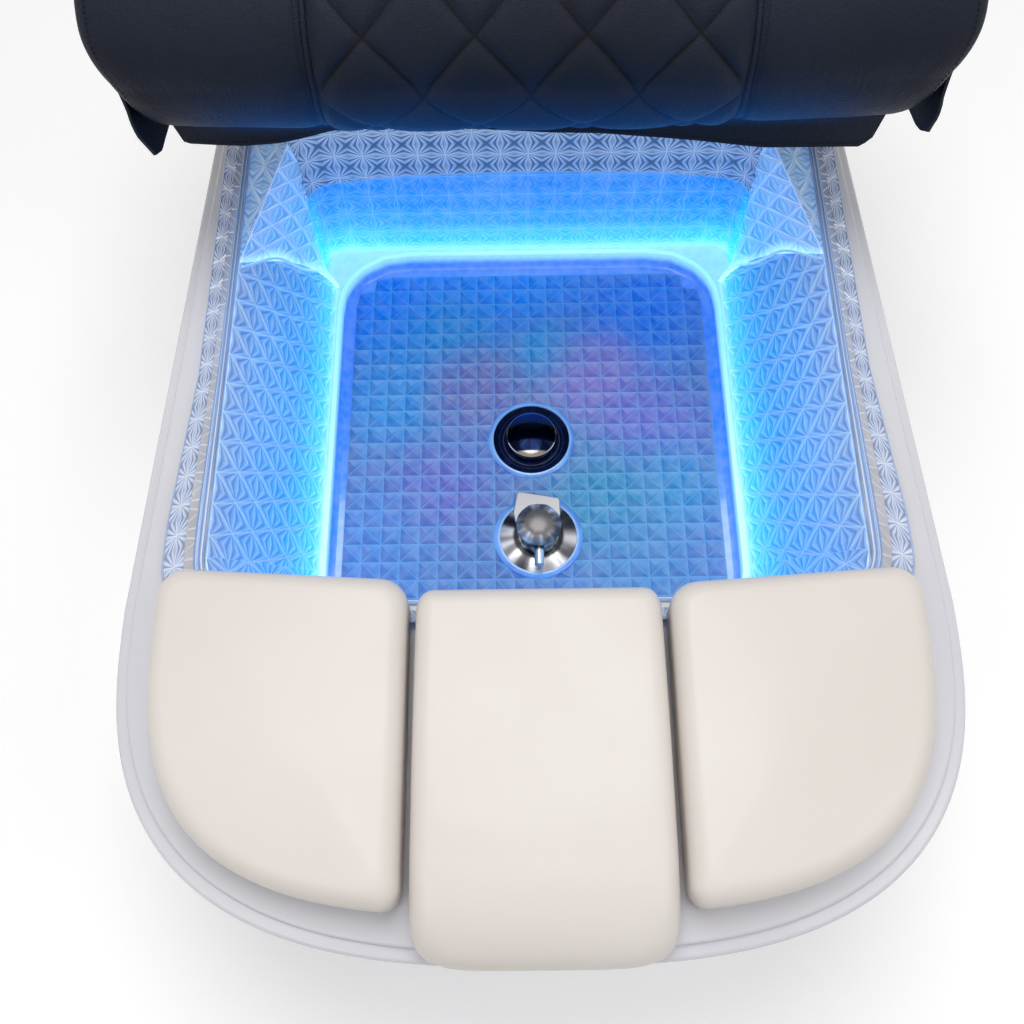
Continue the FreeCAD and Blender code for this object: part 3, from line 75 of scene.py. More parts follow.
class Sock:
    # an output socket, so that shader sums are written as plain sums
    def __init__(self, kit, out):
        self.kit = kit
        self.out = out

    def __neg__(self):
        return self * -1

    def rise(self, low, high):
        # 0 below low, 1 above high, smooth between
        node = self.kit.node("ShaderNodeMapRange", {"interpolation_type": "SMOOTHSTEP"},
                             {"Value": self, "From Min": low, "From Max": high, "To Min": 0.0, "To Max": 1.0})
        return Sock(self.kit, node.outputs["Result"])


def operator(operation, otherFirst):
    def act(sock, *others):
        return sock.kit.number(operation, *((*others, sock) if otherFirst else (sock, *others)))
    return act


for word, operation in (("add", "ADD"), ("sub", "SUBTRACT"), ("mul", "MULTIPLY"), ("truediv", "DIVIDE")):
    setattr(Sock, "__" + word + "__", operator(operation, False))
    setattr(Sock, "__r" + word + "__", operator(operation, operation in ("SUBTRACT", "DIVIDE")))
for word, operation in (("__pow__", "POWER"), ("__abs__", "ABSOLUTE"), ("part", "FRACT"), ("whole", "FLOOR"),
                        ("least", "MINIMUM"), ("most", "MAXIMUM"), ("sine", "SINE"), ("angle", "ARCTAN2")):
    setattr(Sock, word, operator(operation, False))


def colourOf(value):
    # an sRGB code, or three linear numbers, as a colour with alpha
    if isinstance(value, str):
        parts = [int(value[i:i + 2], 16) / 255 for i in (0, 2, 4)]
        value = [c / 12.92 if c <= 0.04045 else ((c + 0.055) / 1.055) ** 2.4 for c in parts]
    return (*value, 1)


class Finish:
    # one material, with its nodes
    inputs = {
        "base": "Base Color", "roughness": "Roughness", "metallic": "Metallic", "ior": "IOR",
        "specular": "Specular IOR Level", "coat": "Coat Weight", "coatRoughness": "Coat Roughness",
        "normal": "Normal",
        "glow": "Emission Color", "glowStrength": "Emission Strength",
    }

    def __init__(self, name, **values):
        self.material = bpy.data.materials.new(name)
        self.material.use_nodes = True
        self.tree = self.material.node_tree
        self.shader = self.tree.nodes["Principled BSDF"]
        self.put(**values)

    def put(self, **values):
        for key, value in values.items():
            self.give(self.shader, self.inputs[key], value)
        return self.material

    def give(self, node, key, value):
        socket = node.inputs[key]
        if isinstance(value, Sock):
            self.tree.links.new(value.out, socket)
        else:
            socket.default_value = colourOf(value) if socket.type == "RGBA" else value

    def node(self, kind, settings=None, inputs=None):
        made = self.tree.nodes.new(kind)
        for key, value in (settings or {}).items():
            setattr(made, key, value)
        for key, value in (inputs or {}).items():
            self.give(made, key, value)
        return made

    def number(self, operation, *values):
        return Sock(self, self.node("ShaderNodeMath", {"operation": operation},
                                    dict(enumerate(values))).outputs[0])

    def coordinates(self, uvMap=None):
        # the point, then its three numbers
        if uvMap:
            source = self.node("ShaderNodeUVMap", {"uv_map": uvMap}).outputs["UV"]
        else:
            source = self.node("ShaderNodeTexCoord").outputs["Object"]
        parts = self.node("ShaderNodeSeparateXYZ", None, {"Vector": Sock(self, source)})
        return Sock(self, source), *(Sock(self, parts.outputs[key]) for key in ("X", "Y", "Z"))

    def noise(self, vector, scale, detail=2.0, roughness=0.5):
        made = self.node("ShaderNodeTexNoise", None,
                         {"Vector": vector, "Scale": scale, "Detail": detail, "Roughness": roughness})
        return Sock(self, made.outputs["Fac"])

    def cells(self, vector, scale):
        return Sock(self, self.node("ShaderNodeTexVoronoi", None,
                                    {"Vector": vector, "Scale": scale}).outputs["Distance"])

    def mix(self, share, first, second, blend="MIX"):
        made = self.node("ShaderNodeMix", {"data_type": "RGBA", "blend_type": blend},
                         {0: share, 6: first, 7: second})
        return Sock(self, made.outputs[2])

    def ramp(self, share, stops):
        made = self.node("ShaderNodeValToRGB", None, {"Fac": share})
        elements = made.color_ramp.elements
        while len(elements) < len(stops):
            elements.new(0.5)
        for element, (place, colour) in zip(elements, stops):
            element.position = place
            element.color = colourOf(colour)
        return Sock(self, made.outputs["Color"])

    def bump(self, height, distance):
        made = self.node("ShaderNodeBump", None, {"Height": height, "Distance": distance, "Strength": 1.0})
        return Sock(self, made.outputs["Normal"])

    def stretch(self, vector, scale):
        return Sock(self, self.node("ShaderNodeMapping", None,
                                    {"Vector": vector, "Scale": scale}).outputs["Vector"])


stageValues = {
    "reach": 9.0,
    "floorShade": 1.0,
    "floorLift": 0.14,
    "worldLight": 0.45,
    "lamps": (
        # place, size, watts, aimed at
        ((-0.04, 0.55, 3.3), 1.9, 41.0, (0, -0.1, 0.3)),
        ((-1.0, -1.3, 2.2), 1.2, 6.4, (0, -0.1, 0.3)),
        ((1.3, -0.8, 2.1), 1.1, 5.6, (0, 0.0, 0.3)),
    ),
}


def seenDirectly(tree):
    # 1 for camera, mirror and see-through rays, 0 for the others
    path = tree.nodes.new("ShaderNodeLightPath")
    seen = path.outputs["Is Camera Ray"]
    for ray in ("Is Glossy Ray", "Is Transmission Ray"):
        both = tree.nodes.new("ShaderNodeMath")
        both.operation = "MAXIMUM"
        tree.links.new(seen, both.inputs[0])
        tree.links.new(path.outputs[ray], both.inputs[1])
        seen = both.outputs[0]
    return seen


def makeGround():
    mesh = bpy.data.meshes.new("floor")
    reach, shade = stageValues["reach"], stageValues["floorShade"]
    mesh.from_pydata([(-reach, -reach, 0), (reach, -reach, 0), (reach, reach, 0), (-reach, reach, 0)],
                     [], [(0, 1, 2, 3)])
    finish = Finish("floorPaper", roughness=1.0, base=(shade, shade, shade), specular=0.0)
    seen = Sock(finish, seenDirectly(finish.tree))
    glow = finish.node("ShaderNodeEmission", None,
                       {"Color": (1.0, 1.0, 1.0), "Strength": seen * stageValues["floorLift"]})
    both = finish.node("ShaderNodeAddShader")
    finish.give(both, 0, Sock(finish, finish.shader.outputs[0]))
    finish.give(both, 1, Sock(finish, glow.outputs[0]))
    finish.give(finish.tree.nodes["Material Output"], "Surface", Sock(finish, both.outputs[0]))
    mesh.materials.append(finish.material)
    placed("floor", mesh)


def setLight():
    world = bpy.data.worlds.new("studio")
    world.use_nodes = True
    bpy.context.scene.world = world
    tree = world.node_tree
    back = tree.nodes["Background"]
    level = tree.nodes.new("ShaderNodeMapRange")
    level.inputs["To Min"].default_value = stageValues["worldLight"]
    level.inputs["To Max"].default_value = 1.0
    tree.links.new(seenDirectly(tree), level.inputs["Value"])
    tree.links.new(level.outputs["Result"], back.inputs["Strength"])
    back.inputs["Color"].default_value = (1, 1, 1, 1)
    for place, size, watts, aim in stageValues["lamps"]:
        data = bpy.data.lights.new("softbox", "AREA")
        data.shape = "DISK"
        data.size = size
        data.energy = watts
        lamp = placed("softbox", data)
        lamp.location = place
        lamp.rotation_euler = (Vector(aim) - Vector(place)).to_track_quat("-Z", "Y").to_euler()


setCamera()
makeGround()
setLight()
bpy.context.scene.view_settings.view_transform = "Standard"
print("camera and stage set")


def smoothed(mesh, sharpDegrees):
    mesh.shade_smooth()
    mesh.set_sharp_from_angle(angle=math.radians(sharpDegrees))


def addMesh(name, points, faces, sharpDegrees=30.0):
    # a mesh from points in millimetres, with its faces turned outwards
    mesh = bpy.data.meshes.new(name)
    mesh.from_pydata([(x * mm, y * mm, z * mm) for x, y, z in points], [], faces)
    mesh.update()
    smoothed(mesh, sharpDegrees)
    shape = bmesh.new()
    shape.from_mesh(mesh)
    bmesh.ops.recalc_face_normals(shape, faces=shape.faces)
    shape.to_mesh(mesh)
    shape.free()
    return placed(name, mesh)


def ringFaces(total, count, gap):
    # quads between each ring and the next and round to the first, but none after the ring at gap
    faces = []
    for i in range(total):
        if i != gap:
            here, after = i * count, (i + 1) % total * count
            faces += [(here + j, here + (j + 1) % count, after + (j + 1) % count, after + j)
                      for j in range(count)]
    return faces


def loftRings(name, rings, sharpDegrees=30.0, gap=None):
    # rings of equal length, closed to a loop of rings, or capped on both sides of the gap
    total, count = len(rings), len(rings[0])
    faces = ringFaces(total, count, gap)
    if gap is not None:
        first, last = (gap + 1) % total * count, gap * count
        faces += [tuple(range(first, first + count)), tuple(reversed(range(last, last + count)))]
    return addMesh(name, [point for ring in rings for point in ring], faces, sharpDegrees)


def loftEnds(name, rings, sharpDegrees):
    return loftRings(name, rings, sharpDegrees, len(rings) - 1)


def finished(piece, body, material, replaced=()):
    piece.data.materials.clear()
    piece.data.materials.append(material)
    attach(piece, body)
    if replaced:
        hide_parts(*replaced)
    return piece


def paintNode(name, material):
    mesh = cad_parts[name].data
    mesh.materials.clear()
    mesh.materials.append(material)


def evaluatedMesh(piece):
    bpy.context.view_layer.update()
    graph = bpy.context.evaluated_depsgraph_get()
    return bpy.data.meshes.new_from_object(piece.evaluated_get(graph))


def tubeAlong(name, line, radius, sides=10, flatten=1.0):
    # a round strip along a line of points, closed at its ends
    rings = []
    for i, place in enumerate(line):
        ahead = (Vector(line[min(i + 1, len(line) - 1)]) - Vector(line[max(i - 1, 0)])).normalized()
        side = Vector((1, 0, 0)) if abs(ahead.x) < 0.9 else Vector((0, 0, 1))
        out = ahead.cross(side).normalized()
        side = out.cross(ahead).normalized()
        ring = []
        for x, y in (turnedBy(360 * j / sides, 1.0) for j in range(sides)):
            ring.append(tuple(Vector(place) + side * x * radius + out * y * radius * flatten))
        rings.append(ring)
    return loftEnds(name, rings, 60.0)


def turnedBy(degrees, radius):
    return radius * math.cos(math.radians(degrees)), radius * math.sin(math.radians(degrees))


def arcPoints(centreX, centreY, radius, fromAngle, toAngle, steps):
    turns = [turnedBy(fromAngle + (toAngle - fromAngle) * i / steps, radius) for i in range(steps + 1)]
    return [(centreX + x, centreY + y) for x, y in turns]


def between(low, high, share):
    return low + (high - low) * share


def smooth(low, high, value):
    share = min(max((value - low) / (high - low), 0.0), 1.0)
    return share * share * (3 - 2 * share)


def onLine(points, place):
    for (a, first), (b, last) in zip(points, points[1:]):
        if place <= b:
            return between(first, last, min(max((place - a) / (b - a), 0.0), 1.0))
    return points[-1][1]


def evenly(points, count):
    # the same closed line, with evenly spaced points
    line = points + [points[0]]
    lengths = [0.0]
    for a, b in zip(line, line[1:]):
        lengths.append(lengths[-1] + math.dist(a, b))
    made = []
    place = 0
    for i in range(count):
        target = lengths[-1] * i / count
        while place < len(lengths) - 2 and lengths[place + 1] < target:
            place += 1
        span = lengths[place + 1] - lengths[place]
        share = (target - lengths[place]) / span if span else 0.0
        made.append(tuple(between(a, b, share) for a, b in zip(line[place], line[place + 1])))
    return made


def roundedRect(halfWidth, front, rear, frontRadius, rearRadius):
    corners = ((1, rear - rearRadius, rearRadius), (-1, rear - rearRadius, rearRadius),
               (-1, front + frontRadius, frontRadius), (1, front + frontRadius, frontRadius))
    line = []
    for i, (side, y, radius) in enumerate(corners):
        line += arcPoints(side * (halfWidth - radius), y, radius, 90 * i, 90 * i + 90, 16)
    return line


def hitOutline(outline, centre, aim):
    # where the ray from centre through aim leaves the outline
    dx, dy = aim[0] - centre[0], aim[1] - centre[1]
    hits = []
    for (ax, ay), (bx, by) in zip(outline, outline[1:] + outline[:1]):
        ex, ey = bx - ax, by - ay
        cross = dx * ey - dy * ex
        if abs(cross) < 1e-9:
            continue
        along = ((ax - centre[0]) * ey - (ay - centre[1]) * ex) / cross
        share = ((ax - centre[0]) * dy - (ay - centre[1]) * dx) / cross
        if along > 0 and -1e-6 <= share <= 1 + 1e-6:
            hits.append(along)
    return (centre[0] + dx * min(hits), centre[1] + dy * min(hits))


shell = {
    "halfWidth": 368.0,
    "rearHalfWidth": 330.0,
    "frontStart": -290.0,
    "frontReach": 297.0,
    "frontPower": 2.8,
    "rear": 538.0,
    "rearRadius": 90.0,
    "ringPoints": 320,
    "frontSteps": 60,
    "deckTop": 340.0,
    "deckUnder": 335.0,
    "opening": (302.0, -295.0, 283.0, 50.0, 65.0),
    "middle": (0.0, -20.0),
    # the stepped lip below its two beads, and the groove between them: inset, height
    "lip": [(16, 335), (16, 318), (16, 299), (6, 299), (4.2, 299.6), (4, 301), (1.2, 314), (0.3, 316),
            (0, 317.4), (0, 323), (0.0, 329)],
    "groove": [(9.4, 333), (10.5, 333.4), (11, 334.4), (11, 337)],
    "beads": ((4, 329), (3, 337)),
    # x to each side, y, radius
    "holes": ((140, -340, 8.05), (140, -485, 8.05), (255, -340, 8.05), (60, -440, 13.05)),
    "skirtLow": 20, "skirtTop": 335, "skirtInset": 16.3, "skirtTaper": 35.7, "skirtPower": 1.35,
    "skirtRear": 20, "skirtWall": 5, "skirtEdge": 1.5, "footInset": 136, "footRear": 84,
    "levels": [20, 21.5, 25, 40, 60, 90, 120, 150, 180, 210, 240, 270, 300, 335],
}


def shellRing(inset, rearInset, z):
    half, rearHalf = shell["halfWidth"] - inset, shell["rearHalfWidth"] - inset
    rear, radius = shell["rear"] - rearInset, shell["rearRadius"] - rearInset
    reach, power, steps = shell["frontReach"] - inset, 2 / shell["frontPower"], shell["frontSteps"]
    curve = []
    for i in range(steps + 1):
        angle = math.pi / 2 * i / steps
        curve.append((half * math.cos(angle) ** power if i < steps else 0.0,
                      shell["frontStart"] - reach * math.sin(angle) ** power))
    line = curve + [(-x, y) for x, y in reversed(curve[:-1])]
    line += arcPoints(radius - rearHalf, rear - radius, radius, 180, 90, 12)
    line += arcPoints(rearHalf - radius, rear - radius, radius, 90, 0, 12)
    return [(x, y, z) for x, y in evenly(line, shell["ringPoints"])]


def drilled(piece, holes, top):
    # holes are (x, y, radius) through the level at top
    shape = bmesh.new()
    for x, y, radius in holes:
        bmesh.ops.create_cone(shape, cap_ends=True, segments=32, radius1=radius * mm, radius2=radius * mm,
                              depth=0.03, matrix=Matrix.Translation((x * mm, y * mm, top * mm)))
    mesh = bpy.data.meshes.new("drills")
    shape.to_mesh(mesh)
    shape.free()
    drills = placed("drills", mesh)
    cut = piece.modifiers.new("holes", "BOOLEAN")
    cut.operation = "DIFFERENCE"
    cut.solver = "EXACT"
    cut.object = drills
    old = piece.data
    piece.data = evaluatedMesh(piece)
    piece.modifiers.clear()
    bpy.data.meshes.remove(old)
    bpy.data.objects.remove(drills)
    piece.data.name = piece.name
    smoothed(piece.data, 30)
    return piece


def shellFinish():
    finish = Finish("pearlShell", coatRoughness=0.05)
    vector, _, y, _ = finish.coordinates()
    base = finish.mix(finish.noise(vector, 3.0, 3.0).rise(0.3, 0.75), "d4d4db", "dbdae0")
    # painted shade: the shell is painted darker towards the rear, where the seat shades it
    base = finish.mix(y.rise(-0.1, 0.3) * 0.6, base, "cdd0d8")
    smear = finish.noise(finish.stretch(vector, (1.0, 0.35, 2.0)), 60.0, 4.0)
    ripple = finish.noise(vector, 9.0, 1.0) + finish.noise(vector, 900.0, 1.0) * 0.004
    return finish.put(base=base, roughness=0.2 + smear * 0.10, coat=0.22 - smear * 0.1,
                      normal=finish.bump(ripple, 0.0012))


def makeDeck(material):
    lip = []
    for part, (radius, z) in zip((shell["lip"], shell["groove"]), shell["beads"]):
        inset = part[-1][0]
        bend = [turnedBy(degrees, radius) for degrees in (22, 45, 68, 90)]
        lip += part + [(inset + radius - x, z + y) for x, y in bend]
    rings = [shellRing(inset, inset, z) for inset, z in lip]
    edge = [hitOutline(roundedRect(*shell["opening"]), shell["middle"], point) for point in rings[-1]]
    rings += [[(x, y, z) for x, y in edge] for z in (shell["deckTop"], shell["deckUnder"])]
    deck = loftRings("deckShell", rings, 40)
    drilled(deck, [(side * x, y, radius) for side in (-1, 1) for x, y, radius in shell["holes"]],
            shell["deckTop"])
    finished(deck, "base", material, ["deck_shell"])


def makeSkirt(material):
    def outerInset(z):
        # knee near the floor, full shoulder under the lip
        share = (z - shell["skirtLow"]) / (shell["skirtTop"] - shell["skirtLow"])
        return shell["skirtInset"] + shell["skirtTaper"] * (1 - share) ** shell["skirtPower"]
    low, rear, wall = shell["skirtLow"], shell["skirtRear"], shell["skirtWall"]
    rings = []
    for z in shell["levels"]:
        edge = shell["skirtEdge"] if z == low else 0
        rings.append(shellRing(outerInset(z) + edge, rear + edge, z))
    rings += [shellRing(outerInset(z) + wall, rear + wall, z)
              for z in reversed(shell["levels"]) if z >= low + wall]
    rings += [shellRing(shell["footInset"], shell["footRear"], z) for z in (low + wall, low)]
    finished(loftRings("baseSkirt", rings, 40), "base", material, ["base_skirt"])


shellWhite = shellFinish()
makeDeck(shellWhite)
makeSkirt(shellWhite)
paintNode("seat_pedestal", shellWhite)
print("shell made")

bowl = {
    "floorTop": 110.0, "ledgeTop": 135.0, "top": 344.0, "flangeUnder": 340.2,
    "wall": 4.0,
    "well": (228.0, -255.0, 239.0, 75.0, 75.0),
    "opening": (297, -290, 278, 45, 60),
    "flange": (318, -311, 299, 66, 81),
    "middle": (0.0, -10.0),
    # the walls' plan at the ledge and at the rim
    "plan": {"half": (236.0, 297.0), "front": (-263.0, -290.0), "radius": (83.0, 45.0),
             "facetY": (190.0, 75.0), "cornerX": (254.0, 259.0), "back": (249.0, 257.0), "z": (135.0, 344.0)},
    "levels": [1.0, 0.96, 0.9, 0.8, 0.7, 0.6, 0.5, 0.4, 0.3, 0.2, 0.1, 0.03],
    # the walls' outer side, the ledge's raised outer edge, and its bend down into the well: outwards, down
    "outerLevels": (0.0, 0.25, 0.5, 0.75, 0.978),
    "ledgeEdge": (0.997, 0.4),
    "ledgeBend": ((1.5, 0), (0.4, 0.5), (0.0, 2.0)),
    "facetBulge": 20.0, "facetPower": 0.8,
    "cornerRadius": 26.0,
    "wellFillet": 7.0,
    "drain": (0.0, -10.0, 24.2),
    "filler": (6.0, -134.0, 14.2),
    "waveSwing": 4.5, "wavePitch": 118.0, "waveWide": 2.6, "waveSteps": 90,
}


def wallPlan(share):
    # the walls' measures at a level, from 0 at the ledge to 1 at the rim
    plan = {key: between(low, high, share) for key, (low, high) in bowl["plan"].items()}
    plan["facetY"] += bowl["facetBulge"] * math.sin(math.pi * min(max(share, 0), 1) ** bowl["facetPower"])
    return plan


def wallRing(share, grow, z):
    plan, bend = wallPlan(share), bowl["cornerRadius"]
    half, front, radius = plan["half"] + grow, plan["front"] - grow, plan["radius"] + grow
    cornerX, back = plan["cornerX"] + grow, plan["back"] + grow

    def run(start, end, steps):
        return [(between(start[0], end[0], i / steps), between(start[1], end[1], i / steps))
                for i in range(steps)]
    side = run((half, front + radius), (half, plan["facetY"]), 16)
    side += run((half, plan["facetY"]), (cornerX, back - bend), 6)
    side += arcPoints(cornerX - bend, back - bend, bend, 0, 90, 6)
    line = side + run((cornerX - bend, back), (bend - cornerX, back), 12)[1:]
    line += [(-x, y) for x, y in reversed(side)]
    line += arcPoints(radius - half, front + radius, radius, 180, 270, 12)[1:]
    line += run((radius - half, front), (half - radius, front), 12)[1:]
    line += arcPoints(half - radius, front + radius, radius, 270, 360, 12)[:-1]
    return [(x, y, z) for x, y in line]


def ringLike(ring, outline, z):
    # the outline's points met by rays through the ring's own points
    return [(*hitOutline(outline, bowl["middle"], (x, y)), z) for x, y, _ in ring]


def wellOutline(grow):
    half, front, rear, frontRadius, rearRadius = bowl["well"]
    return roundedRect(half + grow, front - grow, rear + grow, frontRadius + grow, rearRadius + grow)


def makeBowl(material):
    ledge, floor, wall, fillet = (bowl[key] for key in ("ledgeTop", "floorTop", "wall", "wellFillet"))
    base = wallRing(0.0, 0, ledge)
    rings = [wallRing(share, 0, wallPlan(share)["z"]) for share in bowl["levels"]]
    share, lift = bowl["ledgeEdge"]
    rings.append([(x * share, y * share, z + lift) for x, y, z in base])
    rings += [ringLike(base, wellOutline(grow), ledge - drop) for grow, drop in bowl["ledgeBend"]]
    for x, y in (turnedBy(degrees, fillet) for degrees in (0, 22, 45, 68, 90)):
        rings.append(ringLike(base, wellOutline(x - fillet), floor + fillet - y))
    gap = len(rings) - 1
    rings += [ringLike(base, wellOutline(wall), z) for z in (floor - wall, ledge - wall)]
    rings += [wallRing(share, wall, wallPlan(share)["z"]) for share in bowl["outerLevels"]]
    rings += [ringLike(base, roundedRect(*bowl["flange"]), z) for z in (bowl["flangeUnder"], bowl["top"])]
    body = drilled(loftRings("bowlShell", rings, 35.0, gap), [bowl["drain"], bowl["filler"]], floor)
    finished(body, "base", material, ["basin_bowl"])


# A sheet of relief: built flat in its own measures (along, up, height), trimmed, closed and laid on the wall

def spread(patch, step, start, slanted=False):
    # cells to millimetres, each point with its place in the pattern for the material
    def mark(p, q):
        return ((p + q) / 2, (p - q) / 2) if slanted else (p, q)
    return [[(start[0] + p * step[0], start[1] + q * step[1], h, *mark(p, q)) for p, q, h in corner]
            for corner in patch]


def starLattice(columns, rows, step, start, leaves=5, rise=2.4, nodeRise=1.0, leafEdge=0.12):
    # diamonds between star nodes, each filled with slender leaves that run from node to node
    patch = []
    for a in range(columns[0], columns[1] + 1):
        for b in range(rows[0], rows[1] + 1):
            if (a + b) % 2 == 0:
                continue
            left, right, count = (a - 1, b, nodeRise), (a + 1, b, nodeRise), 2 * leaves
            heights = [nodeRise] + [rise if i % 2 else leafEdge for i in range(1, count)] + [nodeRise]
            middle = [(a, b - 1 + 2 * i / count, height) for i, height in enumerate(heights)]
            for low, high in zip(middle, middle[1:]):
                patch += [[left, low, high], [right, high, low]]
    return spread(patch, step, start, True)


def starburst(columns, rows, step, start, rise=1.5, low=0.2):
    # sixteen raised rays round each node, in diamonds that meet at their corners
    spots = [(0.5, 0.0), (0.5, 0.207), (0.5, 0.5), (0.207, 0.5), (0.0, 0.5)]
    patch = []
    for a in range(columns[0], columns[1] + 1):
        for b in range(rows[0], rows[1] + 1):
            for sideP, sideQ in ((1, 1), (-1, 1), (-1, -1), (1, -1)):
                for first, last in zip(spots, spots[1:]):
                    middle = ((first[0] + last[0]) / 2, (first[1] + last[1]) / 2)
                    trio = ((first, low), (middle, rise), (last, low))
                    ends = [(a + sideP * p, b + sideQ * q, h) for (p, q), h in trio]
                    for near, far in zip(ends, ends[1:]):
                        pair = [near, far] if sideP * sideQ > 0 else [far, near]
                        patch.append([(a, b, 0.55 * rise), *pair])
    return spread(patch, step, start)


def reliefSheet(name, patch, trims, lay, material, depth=1.2, wrap=None,
                node="basin_bowl"):
    # the front is shaped and trimmed flat, copied as the back, joined round its edges and laid on the wall
    shape = bmesh.new()
    marks = shape.loops.layers.uv.new("lattice")
    known = {}
    for corner in patch:
        ends = []
        for u, v, h, _, _ in corner:
            key = (round(u % wrap if wrap else u, 3), round(v, 3))
            if key not in known:
                known[key] = shape.verts.new((u, v, h))
            ends.append(known[key])
        if len(set(ends)) < 3 or shape.faces.get(ends):
            continue
        for loop, point in zip(shape.faces.new(ends).loops, corner):
            loop[marks].uv = point[3:]
    for (u, v), (outU, outV) in trims:
        bmesh.ops.bisect_plane(shape, geom=shape.verts[:] + shape.edges[:] + shape.faces[:], dist=1e-4,
                               plane_co=(u, v, 0), plane_no=(outU, outV, 0), clear_outer=True)
    bmesh.ops.delete(shape, geom=[vert for vert in shape.verts if not vert.link_faces], context="VERTS")
    edges = [edge for edge in shape.edges if edge.is_boundary]
    copied = bmesh.ops.duplicate(shape, geom=shape.verts[:] + shape.edges[:] + shape.faces[:])
    twins = copied["vert_map"]
    for item in copied["geom"]:
        if isinstance(item, bmesh.types.BMVert):
            item.co.z = -depth
    for edge in edges:
        first, last = edge.verts
        shape.faces.new((first, last, twins[last], twins[first]))
    for vert in shape.verts:
        vert.co = Vector(lay(*vert.co)) * mm
    bmesh.ops.recalc_face_normals(shape, faces=shape.faces)
    mesh = bpy.data.meshes.new(name)
    shape.to_mesh(mesh)
    shape.free()
    finished(placed(name, mesh), "base", material, [node])


def pathTrims(points, outward):
    # half-planes along a line that bends one way only
    trims = []
    for (u0, v0), (u1, v1) in zip(points, points[1:]):
        length = math.hypot(u1 - u0, v1 - v0) * outward
        trims.append(((u0, v0), ((v1 - v0) / length, (u0 - u1) / length)))
    return trims


def levelTrims(low, high):
    return [((0, low), (0, -1)), ((0, high), (0, 1))]


def sideTrims(left, right):
    return [((right, 0), (1, 0)), ((left, 0), (-1, 0))]


crystal = {
    "side": {"columns": (-16, 14), "rows": (-1, 8), "step": (16.0, 35.2), "start": (0.0, 4.0)},
    "facet": {"columns": (-1, 12), "rows": (-1, 9), "step": (15.0, 34.0), "start": (4.0, 10.0), "leaves": 4,
              "rise": 2.0},
    "shelf": {"columns": (-1, 12), "rows": (-1, 9), "step": (11.0, 26.0), "start": (226.0, 70.0), "leaves": 4,
              "rise": 1.8},
    "front": {"columns": (-17, 17), "rows": (-1, 8), "step": (16.0, 34.6), "start": (0.0, 4.0)},
    "corner": {"columns": (0, 6), "rows": (-1, 8), "step": (16.0, 34.6), "start": (0.0, 4.0)},
    "backLow": {"columns": (-9, 9), "rows": (-1, 6), "step": (31.0, 30.5), "start": (0.0, 8.0)},
    "backHigh": {"columns": (-9, 9), "rows": (2, 8), "step": (31.0, 33.0), "start": (0.0, 30.0)},
    "lowTrim": 3.0, "highTrim": 1.0,
    "cornerRun": 96.0,
    "facetSlope": 1.02,
    "shelfDrop": 0.4,
    # along the rim's rounded rear corner: place, outward direction
    "shelfTrims": [((296.4, 0), (1, 0)), ((0, 277.4), (0, 1)), ((279.5, 259.5), (0.707, 0.707)),
                   ((291.0, 240.0), (0.924, 0.383)), ((262.0, 270.0), (0.383, 0.924)),
                   ((230.0, 257.0), (-1, 0))],
    # the edge of the back wall's pale upper tier: its height above the ledge, and how it falls to the sides
    "tier": 135.0, "tierDip": 21.0, "tierMiddle": (150, 4), "tierStep": 1.7, "backLean": 5.0,
    "floorStep": 21.5, "floorCells": (20, 23), "floorRear": 202.8, "floorMargin": 5.0, "floorReach": 215,
    "floorRise": 2.6, "floorDimple": 2.2, "clear": (("drain", 49.6), ("filler", 48.6)),
    "rimPitch": 31.0,
}
icy = "cfe9fb"
floorClouds = [
    # place, reach, colour, share
    ((-0.163, 0.190, 0.11), 0.17, "008cf0", 1.0), ((-0.013, 0.210, 0.11), 0.13, "0094f4", 1.0),
    ((0.136, 0.170, 0.11), 0.13, "0c80ec", 0.95), ((-0.165, 0.053, 0.11), 0.11, "2a9ce0", 0.85),
    ((-0.102, 0.137, 0.11), 0.08, "28a0d8", 0.8), ((0.016, 0.111, 0.11), 0.06, "2ca4dc", 0.9),
    ((0.078, 0.073, 0.11), 0.09, "9a84cc", 1.0), ((0.145, 0.008, 0.11), 0.09, "8478d0", 0.9),
    ((-0.065, 0.056, 0.11), 0.09, "8078b4", 0.95), ((-0.108, -0.074, 0.11), 0.1, "7470c0", 0.9),
    ((-0.184, -0.141, 0.11), 0.11, "5c8cd0", 0.8), ((-0.039, -0.023, 0.11), 0.06, "5f74c0", 0.7),
    ((0.159, -0.075, 0.11), 0.09, "469ccc", 0.9), ((0.082, -0.095, 0.11), 0.1, "3c98b8", 0.9),
    ((0.117, -0.163, 0.11), 0.09, "5a94c4", 0.8),
]
